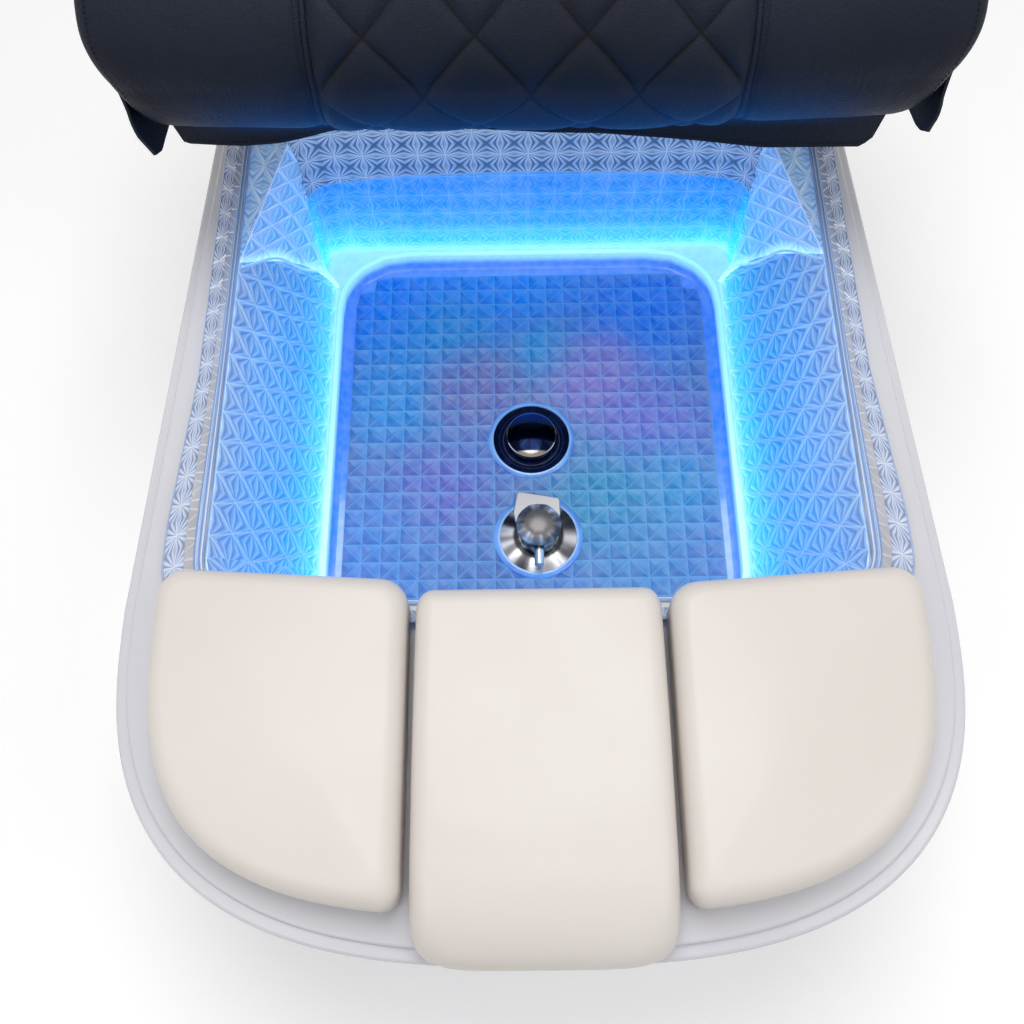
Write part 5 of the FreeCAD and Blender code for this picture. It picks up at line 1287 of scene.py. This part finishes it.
def stitchRows(name, lines, material, spacing=4.6, length=3.4, radius=0.5):
    # rows of stitches along lines of points, on the seat
    data = bpy.data.curves.new(name, "CURVE")
    data.dimensions = "3D"
    for line in lines:
        spline = data.splines.new("POLY")
        spline.points.add(len(line) - 1)
        for point, place in zip(spline.points, line):
            point.co = (*(value * mm for value in place), 1)
    rows = placed(name, data)
    sewing = rows.modifiers.new("stitches", "NODES")
    sewing.node_group = stitchGroup
    values = {"Spacing": spacing * mm, "Thread Length": length * mm, "Thread Radius": radius * mm,
              "Material": material}
    for item in stitchGroup.interface.items_tree:
        if item.in_out == "INPUT" and item.name in values:
            sewing[item.identifier] = values[item.name]
    piece = placed(name, evaluatedMesh(rows))
    bpy.data.objects.remove(rows)
    piece.data.shade_smooth()
    finished(piece, "seat", material)


seat = {
    "half": 382.0, "seam": 190.0, "seamDraw": 8.0, "endDraw": 16.0, "endReach": 34.0, "drawPower": 2.2,
    "gap": 0.3, "centreY": 194.0, "centreZ": 540.3, "radius": 80.0,
    "boardEdge": 217.0, "base": 477.6, "rear": 590.0, "rearRound": 30.0, "crown": 4.0,
    "pitch": 94.5, "pillow": 6.4, "sewn": 3.2,
    # how wide the valleys at the sewn lines are, as a share of the pitch, and how deep
    "valleys": ((0.055, 0.75), (0.2, 0.25)), "seamFlat": 16.0,
    "stepX": 3.0, "endSteps": [0, 0.3, 0.9, 1.8, 3, 4.6, 6.6, 9, 12],
    "underHalf": 356.0, "underLow": 478.0, "underHigh": 585.0,
    "sagFrom": 185, "sagRun": 112, "sagEnd": 9, "sagMiddle": 8.5,
    "quiltLow": 468.0, "quiltRear": 536.0, "quiltEnd": 566.0, "marksLow": 470, "frontPart": 300,
    "linesLow": 476, "linesRear": 560, "linesTop": 600, "topLean": 0.8,
    # angle up from the roll's front, how far the sewn lines have moved sideways
    "lean": [(-50, 61.8), (-40, 44.1), (-30, 26.4), (-20, 9.3), (-15, 2.4), (-10, -2.8), (0, -11.0),
             (10, -21.8), (20, -34.3), (30, -48.1), (40, -60.5), (50, -72.6), (60, -84), (70, -95),
             (80, -105.5), (90, -115)],
    "weltDraw": 7.0, "weltLift": 1.2, "weltRadius": 3.0, "stitchGap": 7.5, "endStitch": 371,
    "quiltThread": {"spacing": 4.4, "length": 3.1, "radius": 0.45},
}


def seatProfile(draw):
    # the section's points, round from the base's front edge, with the outward direction at each
    radius, bend = seat["radius"] - draw, seat["rearRound"]
    cy, cz, base, edge = (seat[key] for key in ("centreY", "centreZ", "base", "boardEdge"))
    top, low, rear = cz + radius, cz - radius, seat["rear"] - draw
    crown = seat["crown"] * max(0.0, 1 - draw / 4) + 0.3
    line = [(edge, between(base, low, i / 4), 1.0, 0.0) for i in range(4)]
    line += [(between(edge, cy, i / 6), low, 0.0, -1.0) for i in range(6)]
    for outY, outZ in (turnedBy(270 - 180 * i / 80, 1.0) for i in range(80)):
        line.append((cy + radius * outY, cz + radius * outZ, outY, outZ))
    for share in (i / 110 for i in range(110)):
        line.append((between(cy, rear - bend, share), top + crown * 4 * share * (1 - share), 0.0, 1.0))
    for outY, outZ in (turnedBy(90 - 90 * i / 12, 1.0) for i in range(12)):
        line.append((rear - bend + bend * outY, top - bend + bend * outZ, outY, outZ))
    line += [(rear, between(top - bend, base, i / 22), 1.0, 0.0) for i in range(22)]
    return line + [(between(rear, edge, i / 30), base, 0.0, -1.0) for i in range(30)]


def quiltLean(y, z):
    # how far the sewn lines have moved sideways at an angle round the roll or a place on the top
    if y >= seat["centreY"]:
        return seat["lean"][-1][1] - seat["topLean"] * (y - seat["centreY"])
    return onLine(seat["lean"], math.degrees(math.atan2(z - seat["centreZ"], seat["centreY"] - y)))


def pillowHeight(x, y, z):
    lean, swell = quiltLean(y, z), 1.0
    for place in ((x - lean) / seat["pitch"], (x + lean) / seat["pitch"]):
        gap = abs(place - round(place))
        swell *= 1 - sum(depth * math.exp(-gap / wide) for wide, depth in seat["valleys"])
    rise = (seat["pillow"] * swell - seat["sewn"]) * smooth(0.0, seat["seamFlat"], seat["seam"] - abs(x))
    rise *= smooth(seat["quiltLow"], seat["quiltLow"] + 12, z) if y < seat["frontPart"] else 1.0
    return rise * (1 - smooth(seat["quiltRear"], seat["quiltEnd"], y))


def quiltMark(x, y, z):
    # the place among the diamonds, or the middle of one where nothing is sewn
    if z <= seat["marksLow"] or y >= seat["quiltEnd"] or abs(x) >= seat["seam"] - 5:
        return (-0.5, 0.5)
    lean = quiltLean(y, z)
    return ((x - lean) / seat["pitch"], (x + lean) / seat["pitch"])


def sag(x, y, z):
    # the roll's soft underside, lowest in the middle
    if y > seat["boardEdge"]:
        return 0.0
    angle = math.degrees(math.atan2(z - seat["centreZ"], y - seat["centreY"])) % 360
    share = min(max((angle - seat["sagFrom"]) / seat["sagRun"], 0.0), 1.0)
    return (seat["sagEnd"] + seat["sagMiddle"] * (1 - (x / seat["half"]) ** 2)) * math.sin(math.pi * share)


def bolsterX(x, z):
    # x drawn in towards the seam under the roll, where the seat is narrower
    end = between(seat["half"], seat["underHalf"], smooth(seat["underHigh"], seat["underLow"], z))
    past = max(0.0, abs(x) - seat["seam"])
    return math.copysign(abs(x) - past + past * (end - seat["seam"]) / (seat["half"] - seat["seam"]), x)


def sectionDraw(x, low, high, lowDraw, highDraw):
    draw = 0.0
    for away, depth in ((x - low, lowDraw), (high - x, highDraw)):
        near = max(0.0, 1 - away / seat["endReach"])
        draw += depth * (1 - math.sqrt(max(0.0, 1 - near ** seat["drawPower"])))
    return draw


def columns(low, high):
    # places across a cushion, closer together near its ends
    inner = [low + value for value in seat["endSteps"]]
    outer = [high - value for value in reversed(seat["endSteps"])]
    count = max(2, int(round((outer[0] - inner[-1]) / seat["stepX"])))
    return inner + [between(inner[-1], outer[0], i / count) for i in range(1, count)] + outer


def leatherFinish(name, quilted=False):
    finish = Finish(name, specular=0.17, glowStrength=1.0)
    vector, x, y, z = finish.coordinates()
    base = finish.mix(finish.noise(vector, 5.0, 3.0).rise(0.3, 0.7), "161c2b", "1e2536")
    pores = finish.cells(vector, 620.0)
    fine = finish.noise(finish.stretch(vector, (1.0, 1.0, 0.6)), 420.0, 3.0, 0.6)
    wrinkle = finish.noise(finish.stretch(vector, (1.0, 0.35, 0.35)), 150.0, 3.0, 0.6)
    base = finish.mix(pores.rise(0.2, 0.7) * 0.35, finish.mix(0.35, base, (0, 0, 0)), base)
    if quilted:
        _, s, t, _ = finish.coordinates("quilt")
        # painted shade: dark lines in the valleys of the sewn quilting
        gap = abs((s + 0.5).part() - 0.5).least(abs((t + 0.5).part() - 0.5))
        base = finish.mix(gap.rise(0.008, 0.03), (0.0015, 0.002, 0.004), base)
    # the basin's blue light under the front of the seat
    lit = (1 - z.rise(0.45, 0.55)) * z.rise(0.438, 0.462)
    lit = lit * (1 - y.rise(0.2, 0.23)) * (1 - abs(x).rise(0.24, 0.34))
    grain = pores * 0.45 + fine * 0.4 + wrinkle * 1.0
    return finish.put(base=base, roughness=0.42 + fine * 0.22, normal=finish.bump(grain, 0.0009),
                      glow=finish.mix(lit, (0, 0, 0), (0.0, 0.028, 0.125)))


def makeCushion(name, span, draws, material, nodeName, quilted=False):
    rings, marks = [], []
    for x in columns(*span):
        ring = []
        for y, z, outY, outZ in seatProfile(sectionDraw(x, *span, *draws)):
            rise = (pillowHeight(x, y, z) if quilted else 0.0) + sag(x, y, z)
            if z > seat["base"] + 1:
                soft = noise.noise(Vector((x * 0.012, y * 0.012, z * 0.012 + 7)))
                ripple = noise.noise(Vector((x * 0.05, y * 0.016, z * 0.05)))
                rise += 0.9 * soft + 0.35 * ripple
            ring.append((x if quilted else bolsterX(x, z), y + outY * rise, z + outZ * rise))
            marks.append(quiltMark(x, y, z))
        rings.append(ring)
    cushion = loftEnds(name, rings, 70)
    if quilted:
        layer = cushion.data.uv_layers.new(name="quilt")
        for loop in cushion.data.loops:
            layer.data[loop.index].uv = marks[loop.vertex_index]
    finished(cushion, "seat", material, [nodeName])
    return cushion


flaps = {
    "thick": 3.0, "top": 585.0, "rear": 584.0, "full": 384.6, "rows": 22, "columns": 60, "stitchRow": 7,
    # the bottom edge: place along y, height
    "Left": [(100, 460), (117, 454), (129, 447), (145, 445), (165, 442), (195, 452), (600, 452)],
    "Right": [(100, 478), (118, 468), (128, 459), (141, 453), (165, 447), (195, 452), (600, 452)],
    # how far out the flap stands at a height
    "LeftOut": [(440, 349), (455, 353), (475, 359.5), (500, 366), (530, 376), (560, 382.5), (600, 384.6)],
    "RightOut": [(440, 364), (455, 365), (475, 366.5), (500, 370), (530, 378), (560, 383), (600, 384.6)],
    # how far back the front edge stands at a height
    "front": [(440, 117), (472, 117), (486, 122), (500, 131), (520, 144), (540, 154), (560, 162), (585, 168)],
}
valance = {
    "top": 466, "front": 158, "slantShade": 0.17, "fold": 2.2, "rows": 8, "columns": 120,
    # the lower edge: place across, height
    "hem": [(-341, 452), (-337, 434), (-330, 431), (-308, 430), (-279, 429), (-242, 431), (-219, 436),
            (-190, 444), (-100, 446), (-12, 441), (65, 436), (133, 429), (183, 423), (230, 417), (282, 416),
            (322, 416), (332, 425), (338, 452)],
}


def slab(name, grid, thick):
    # a sheet round a grid of middle points
    rows, count = len(grid), len(grid[0])
    sides = [[], []]
    for i in range(rows):
        for j in range(count):
            along = Vector(grid[i][min(j + 1, count - 1)]) - Vector(grid[i][max(j - 1, 0)])
            down = Vector(grid[min(i + 1, rows - 1)][j]) - Vector(grid[max(i - 1, 0)][j])
            out = along.cross(down).normalized() * thick / 2
            for points, sign in zip(sides, (1, -1)):
                points.append(tuple(Vector(grid[i][j]) + out * sign))
    faces, total = [], rows * count
    for i in range(rows - 1):
        for j in range(count - 1):
            quad = (i * count + j, i * count + j + 1, (i + 1) * count + j + 1, (i + 1) * count + j)
            faces += [quad, tuple(total + k for k in reversed(quad))]
    border = list(range(count)) + [i * count + count - 1 for i in range(1, rows)]
    border += [(rows - 1) * count + j for j in range(count - 2, -1, -1)]
    border += [i * count for i in range(rows - 2, 0, -1)]
    faces += [(a, total + a, total + b, b) for a, b in zip(border, border[1:] + border[:1])]
    return addMesh(name, sides[0] + sides[1], faces, 50.0)


def hang(name, grid, material, nodeName):
    sheet = slab(name, grid, flaps["thick"])
    finished(sheet, "seat", material, [nodeName])


def flapGrid(side, word):
    grid = []
    for share in (i / flaps["rows"] for i in range(flaps["rows"] + 1)):
        line = []
        for j in range(flaps["columns"] + 1):
            guess = between(flaps["top"], onLine(flaps[word], 150), share)
            y = between(onLine(flaps["front"], guess), flaps["rear"], (j / flaps["columns"]) ** 1.5)
            z = between(flaps["top"], onLine(flaps[word], y), share)
            x = between(onLine(flaps[word + "Out"], z), flaps["full"], smooth(200, 330, y))
            line.append((side * (x + 0.8 * noise.noise(Vector((y * 0.02, z * 0.02, side)))), y, z))
        grid.append(line)
    return grid


def makeFlaps(leather, thread):
    rows = []
    for side, word in ((-1, "Left"), (1, "Right")):
        grid = flapGrid(side, word)
        hang("seatFlap" + word, grid, leather, "seat_side_flap_" + word.lower())
        rows.append([(x + side * 1.7, y, z) for x, y, z in (row[flaps["stitchRow"]] for row in grid)])
        rows.append([(x + side * 1.7, y, z + 5) for x, y, z in grid[-1][2:]])
    stitchRows("flapStitches", rows, thread)


def makeValance(leather, thread):
    grid = []
    for share in (i / valance["rows"] for i in range(valance["rows"] + 1)):
        line = []
        for j in range(valance["columns"] + 1):
            x = between(valance["hem"][0][0], valance["hem"][-1][0], j / valance["columns"])
            z = between(valance["top"], onLine(valance["hem"], x), share)
            wave = valance["fold"] * noise.noise(Vector((x * 0.012, 0.3, 2.0)))
            line.append((x, valance["front"] - (valance["top"] - z) * valance["slantShade"] + wave * share, z))
        grid.append(line)
    hang("seatValance", grid, leather, "front_valance")
    stitchRows("valanceStitches", [[(x, y - 1.9, z + 4.5) for x, y, z in grid[-1][2:-2]]], thread)


def surfaceLine(x, draw, lift, fromIndex=8, toIndex=232):
    line = []
    for y, z, outY, outZ in seatProfile(draw)[fromIndex:toIndex]:
        out = lift + sag(abs(x), y, z)
        line.append((bolsterX(x, z), y + outY * out, z + outZ * out))
    return line


def quiltLines():
    # the sewn lines over the roll and the top, cut off at the seams
    half, draws = seat["seam"], (seat["seamDraw"], seat["seamDraw"])
    lines = []
    for side in (-1, 1):
        for a in range(-6, 7):
            run = []
            for y, z, outY, outZ in seatProfile(0.0):
                if z < seat["linesLow"] or y > seat["linesRear"]:
                    continue
                if y > seat["frontPart"] and z < seat["linesTop"]:
                    continue
                x = a * seat["pitch"] + side * quiltLean(y, z)
                if abs(x) < half - 6:
                    lift = pillowHeight(x, y, z) + sag(x, y, z) + 0.4 - sectionDraw(x, -half, half, *draws)
                    run.append((x, y + outY * lift, z + outZ * lift))
                elif run:
                    lines.append(run)
                    run = []
            lines.append(run)
    return [line for line in lines if len(line) > 2]


def makeSeat():
    leather, thread = leatherFinish("navyLeather"), leatherFinish("navyThread")
    makeFlaps(leather, thread)
    makeValance(leather, thread)
    inner, outer = seat["seam"] - seat["gap"], seat["seam"] + seat["gap"]
    seamDraw, endDraw = seat["seamDraw"], seat["endDraw"]
    makeCushion("seatCushionCentre", (-inner, inner), (seamDraw, seamDraw),
                leatherFinish("navyQuilted", True), "seat_cushion_centre", True)
    for word in ("Right", "Left"):
        bolster = makeCushion("seatBolster" + word, (outer, seat["half"]), (seamDraw, endDraw), leather,
                              "seat_bolster_" + word.lower())
    # the left bolster is the right one's mirror image
    for vert in bolster.data.vertices:
        vert.co.x = -vert.co.x
    bolster.data.flip_normals()
    rows = []
    for side, word in ((-1, "Left"), (1, "Right")):
        welt = surfaceLine(side * seat["seam"], seat["weltDraw"], seat["weltLift"])
        finished(tubeAlong("seamWelt" + word, welt, seat["weltRadius"]), "seat", leather)
        for x, start in ((seat["seam"] + seat["stitchGap"], 8), (seat["endStitch"], 30)):
            draw = sectionDraw(x, outer, seat["half"], seamDraw, endDraw)
            rows.append(surfaceLine(side * x, draw, 0.5, start))
    stitchRows("seamStitches", rows, thread)
    stitchRows("quiltStitches", quiltLines(), thread, **seat["quiltThread"])


cadFinishes = {
    # dark, light, roughness, roughness spread, metallic, coat, grain, grain stretch, bump in metres, nodes
    "blackPowder": ("17181a", "202124", 0.44, 0.2, 0.0, 0.0, 700, (1, 1, 1), 0.0003,
                    ["chassis_rails", "chassis_cross_tubes", "seat_beams", "footrest_tie_bar",
                     "seat_brake_strip"]),
    "zincPlate": ("8d9096", "b2b4b8", 0.26, 0.22, 1.0, 0.0, 120, (1, 1, 0.15), 0.0001,
                  ["foot_stems", "seat_rail_channels", "seat_slide_bars", "beam_bolts", "footrest_posts",
                   "pad_pegs_left", "pad_pegs_right", "seat_latch_bracket", "seat_latch_lever",
                   "panel_screws", "light_driver_screws"]),
    "blackRubber": ("0c0c0d", "171718", 0.68, 0.2, 0.0, 0.0, 500, (1, 1, 1), 0.0004,
                    ["foot_pads", "bowl_support_blocks", "drain_gasket", "filler_gasket", "seat_latch_shoe"]),
    "blackPlastic": ("121214", "1d1d20", 0.38, 0.2, 0.0, 0.1, 900, (1, 1, 1), 0.0002,
                     ["light_driver", "power_inlet", "deck_grommets", "footrest_sleeves", "seat_latch_grip",
                      "drain_nut"]),
    "turnedBrass": ("9c7a3e", "c4a05c", 0.2, 0.2, 1.0, 0.0, 60, (1, 1, 30), 0.0001,
                    ["water_inlet_left", "water_inlet_right", "filler_nut"]),
    "greyPipe": ("85888c", "989b9f", 0.42, 0.18, 0.0, 0.05, 80, (1, 0.1, 1), 0.0001,
                 ["waste_pipe", "hot_supply_pipe", "cold_supply_pipe"]),
    "satinPanel": ("c6c6cd", "d2d2d8", 0.35, 0.15, 0.0, 0.1, 160, (1, 1, 0.2), 0.0001,
                   ["rear_service_panel"]),
}
boardNodes = ("pad_board_left", "pad_board_centre", "pad_board_right", "seat_board")


def makeCadFinishes():
    for name, values in cadFinishes.items():
        dark, light, rough, spreadOut, metallic, coat, grain, stretch, depth, nodes = values
        finish = Finish(name, metallic=metallic, coat=coat)
        vector = finish.coordinates()[0]
        drift = finish.noise(vector, 14.0, 3.0)
        fine = finish.noise(finish.stretch(vector, stretch), grain, 3.0)
        finish.put(base=finish.mix(drift.rise(0.3, 0.7), dark, light), roughness=rough + fine * spreadOut,
                   normal=finish.bump(fine, depth))
        for nodeName in nodes:
            paintNode(nodeName, finish.material)


def makeBoardFinish():
    # birch plywood: long grain and thin layers
    finish = Finish("birchPly")
    vector, _, _, z = finish.coordinates()
    grain = finish.noise(finish.stretch(vector, (14.0, 1.0, 1.0)), 34.0, 4.0, 0.6)
    layer = (z * 660).part().rise(0.42, 0.58)
    base = finish.ramp(grain, [(0.3, "a5824f"), (0.55, "c9a873"), (0.8, "d8bd8c")])
    finish.put(base=finish.mix(layer * 0.35, base, "8a683c"), roughness=0.55 + grain * 0.2,
               normal=finish.bump(grain, 0.0003))
    for nodeName in boardNodes:
        paintNode(nodeName, finish.material)


def makeStripFinish():
    finish = Finish("siliconeStrip", roughness=0.4, base=icy, glowStrength=1.0)
    spots = finish.cells(finish.coordinates()[0], 90.0).rise(0.1, 0.6)
    paintNode("light_strip", finish.put(glow=finish.mix(spots, (0.75, 0.97, 1.0), (0.2, 0.7, 0.95))))


def roundFinish(name, centre, stops, reflectionBands=2.4, roughness=0.07, rings=(), crescentReflection=None, topReflection=None, metal=1.0):
    # polished metal with painted reflection bands, set by the direction from its middle
    finish = Finish(name, metallic=metal)
    vector, x, y, z = finish.coordinates()
    dx, dy = x - centre[0] * mm, y - centre[1] * mm
    away = (dx * dx + dy * dy + 1e-9) ** 0.5
    turn = finish.node("ShaderNodeCombineXYZ", None, {"X": dx / away, "Y": dy / away, "Z": z * 22})
    base = finish.ramp(finish.noise(Sock(finish, turn.outputs["Vector"]), reflectionBands, 1.0), stops)
    # painted rings at given radii: highlights on the drain's dish and cap, shade round the filler knob's foot
    for radius, wide, colour, share in rings:
        ring = 1 - abs(away - radius * mm).rise(wide * 0.3 * mm, wide * mm)
        base = finish.mix(ring * share, base, colour)
    # painted reflections on the drain cap: a pale crescent at the front, blue towards the back
    if crescentReflection:
        reach, colour = crescentReflection
        front = (-dy).rise(reach * mm, (reach + 2) * mm) * (1 - abs(dx).rise(0.012, 0.021))
        base = finish.mix(dy.rise(0.004, 0.012) * 0.5, finish.mix(front, base, colour), "41558c")
    # painted reflection: the knob's top painted a flat grey
    if topReflection:
        base = finish.mix(z.rise(0.1548, 0.1562), base, topReflection)
    return finish.put(base=base, roughness=roughness + finish.noise(vector, 60.0, 2.0) * 0.06,
                      normal=finish.bump(finish.noise(vector, 500.0, 2.0), 0.00004))


def turned(name, centre, profile, body, slotName, material, nodes=(), flutes=0, steps=96):
    # rings of radius, height and flute depth round an upright axis
    rings = []
    for radius, z, depth in profile:
        ring = []
        for i in range(steps):
            angle = 2 * math.pi * i / steps
            wide = radius * (1 - depth * abs(math.cos(flutes * angle / 2))) if flutes else radius
            ring.append((centre[0] + wide * math.cos(angle), centre[1] + wide * math.sin(angle), z))
        rings.append(ring)
    piece = loftEnds(name, rings, 32) if flutes else loftRings(name, rings, 32)
    finished(piece, body, material, list(nodes))


fittings = {
    # colours of the painted reflection bands: place, colour; the dish's rings are painted highlights: radius,
    # width, colour, share
    "black": [(0.0, "070c1c"), (0.5, "0a1228"), (0.62, "131f3e")],
    "dish": [(0.0, "0c1634"), (0.5, "101c42"), (0.62, "1b2c58")],
    "dishRings": ((33, 0.9, "6b7688", 0.6), (37.5, 0.7, "4c5a78", 0.5), (30.6, 0.6, "39486c", 0.5)),
    "bright": [(0.30, "17171a"), (0.42, "5c5a5e"), (0.5, "c9c7c9"), (0.58, "f2f2f4"), (0.66, "8e8c90"),
               (0.74, "2a2a2e")],
    "soft": [(0.36, "4a4546"), (0.46, "7a7473"), (0.56, "98928f"), (0.66, "d0cccb")],
    # radius, height, flute depth
    "knob": [(21.8, 137.6, 0.0), (22.6, 138.2, 0.0), (22.7, 142.0, 0.0), (22.7, 145.4, 0.0),
             (24.6, 146.4, 0.0), (25.2, 147.8, 0.01), (24.8, 149.6, 0.03), (23.0, 152.0, 0.05),
             (19.6, 154.2, 0.06), (15.0, 155.9, 0.04), (10.0, 157.0, 0.01), (5.0, 157.5, 0.0),
             (0.6, 157.6, 0.0)],
    "knobFlutes": 8,
    # how far in front of the knob's middle, height
    "lever": [(18, 141.6), (28, 141.8), (43.6, 141.6), (45, 141.6)], "leverRadius": 5.3,
    # the flat spout widens towards its lip: its outline, then height and share of the outline
    "spout": [(-12.5, -134), (24.5, -134), (29.6, -121), (31.0, -112), (30.8, -96), (29.4, -93.2),
              (6, -88.8), (-15.4, -85), (-17.6, -86.6), (-21.0, -105), (-22.0, -112), (-20.2, -121)],
    "spoutMiddle": (6.0, -112.0),
    "spoutLevels": [(124.0, 0.97), (124.6, 0.995), (125.4, 1.0), (127.8, 1.0), (128.6, 0.992),
                    (129.0, 0.965)],
    # the collars' rings: how far out from the inner edge and height, then radius and height
    "collarInner": [(0, 112.2), (0, 114.4), (0.7, 115.1), (1.5, 115.2), (3.5, 114.3)],
    "collarOuter": [(49.3, 113.8), (50.2, 113.0), (50.4, 110.2), (49.2, 110.2), (49.2, 112.2)],
    "collars": (("drain", 44.4), ("filler", 43.2)),
}


def makeSpout():
    middleX, middleY = fittings["spoutMiddle"]
    rings = [[(between(middleX, x, k), between(middleY, y, k), z) for x, y in fittings["spout"]]
             for z, k in fittings["spoutLevels"]]
    steel = Finish("spoutSteel", metallic=0.45)
    tone = steel.noise(steel.coordinates()[0], 9.0, 2.0)
    steel.put(base=steel.mix(tone.rise(0.3, 0.7), "9d9b9c", "aaa8a6"), roughness=0.3 + tone * 0.1)
    finished(loftEnds("fillerSpout", rings, 50), "base", steel.material, ["filler_spout"])


def makeCollars():
    glass = Finish("collarAcrylic", coat=0.5, coatRoughness=0.04)
    vector, _, _, z = glass.coordinates()
    tone = glass.mix(glass.noise(vector, 30.0, 2.0).rise(0.3, 0.7), "4f86d6", "7fb6f2")
    # painted highlight along the collars' top edge
    glass.put(base=glass.mix(z.rise(0.1142, 0.1150) * 0.7, tone, "a9d4fa"),
              roughness=0.1 + glass.noise(vector, 80.0, 2.0) * 0.08)
    for word, inner in fittings["collars"]:
        ring = [(inner + out, z, 0) for out, z in fittings["collarInner"]]
        ring += [(radius, z, 0) for radius, z in fittings["collarOuter"]]
        turned(word + "Collar", bowl[word][:2], ring, "base", "crystal", glass.material)


def makeFittings():
    drainPlace, (x, y) = bowl["drain"][:2], bowl["filler"][:2]
    paintNode("drain_flange", roundFinish("blackChrome", drainPlace, fittings["dish"], metal=0.5,
                                          rings=fittings["dishRings"]))
    paintNode("drain_stopper", roundFinish("capChrome", drainPlace, fittings["black"],
                                           rings=((28.7, 0.9, "b9c4da", 0.95),), crescentReflection=(20.5, "8a8482")))
    chrome = roundFinish("brightChrome", (x, y), fittings["bright"], reflectionBands=1.5, roughness=0.18, metal=0.7,
                         rings=((25.0, 5.6, "0b0d16", 0.97),))
    paintNode("filler_plate", chrome)
    knobChrome = roundFinish("knobChrome", (x, y), fittings["soft"], reflectionBands=2.2, roughness=0.24, topReflection="6e6968",
                             metal=0.3)
    paintNode("filler_body", knobChrome)
    turned("fillerKnob", (x, y), fittings["knob"], "knob", "chrome", knobChrome, ["filler_knob"],
           fittings["knobFlutes"])
    makeSpout()
    line = [(x, y - reach, z) for reach, z in fittings["lever"]]
    finished(tubeAlong("knobLever", line, fittings["leverRadius"], 16), "knob", chrome)
    makeCollars()


makeCadFinishes()
makeBoardFinish()
makeStripFinish()
makeFittings()
print("fittings made")
makeSeat()
print("seat made")
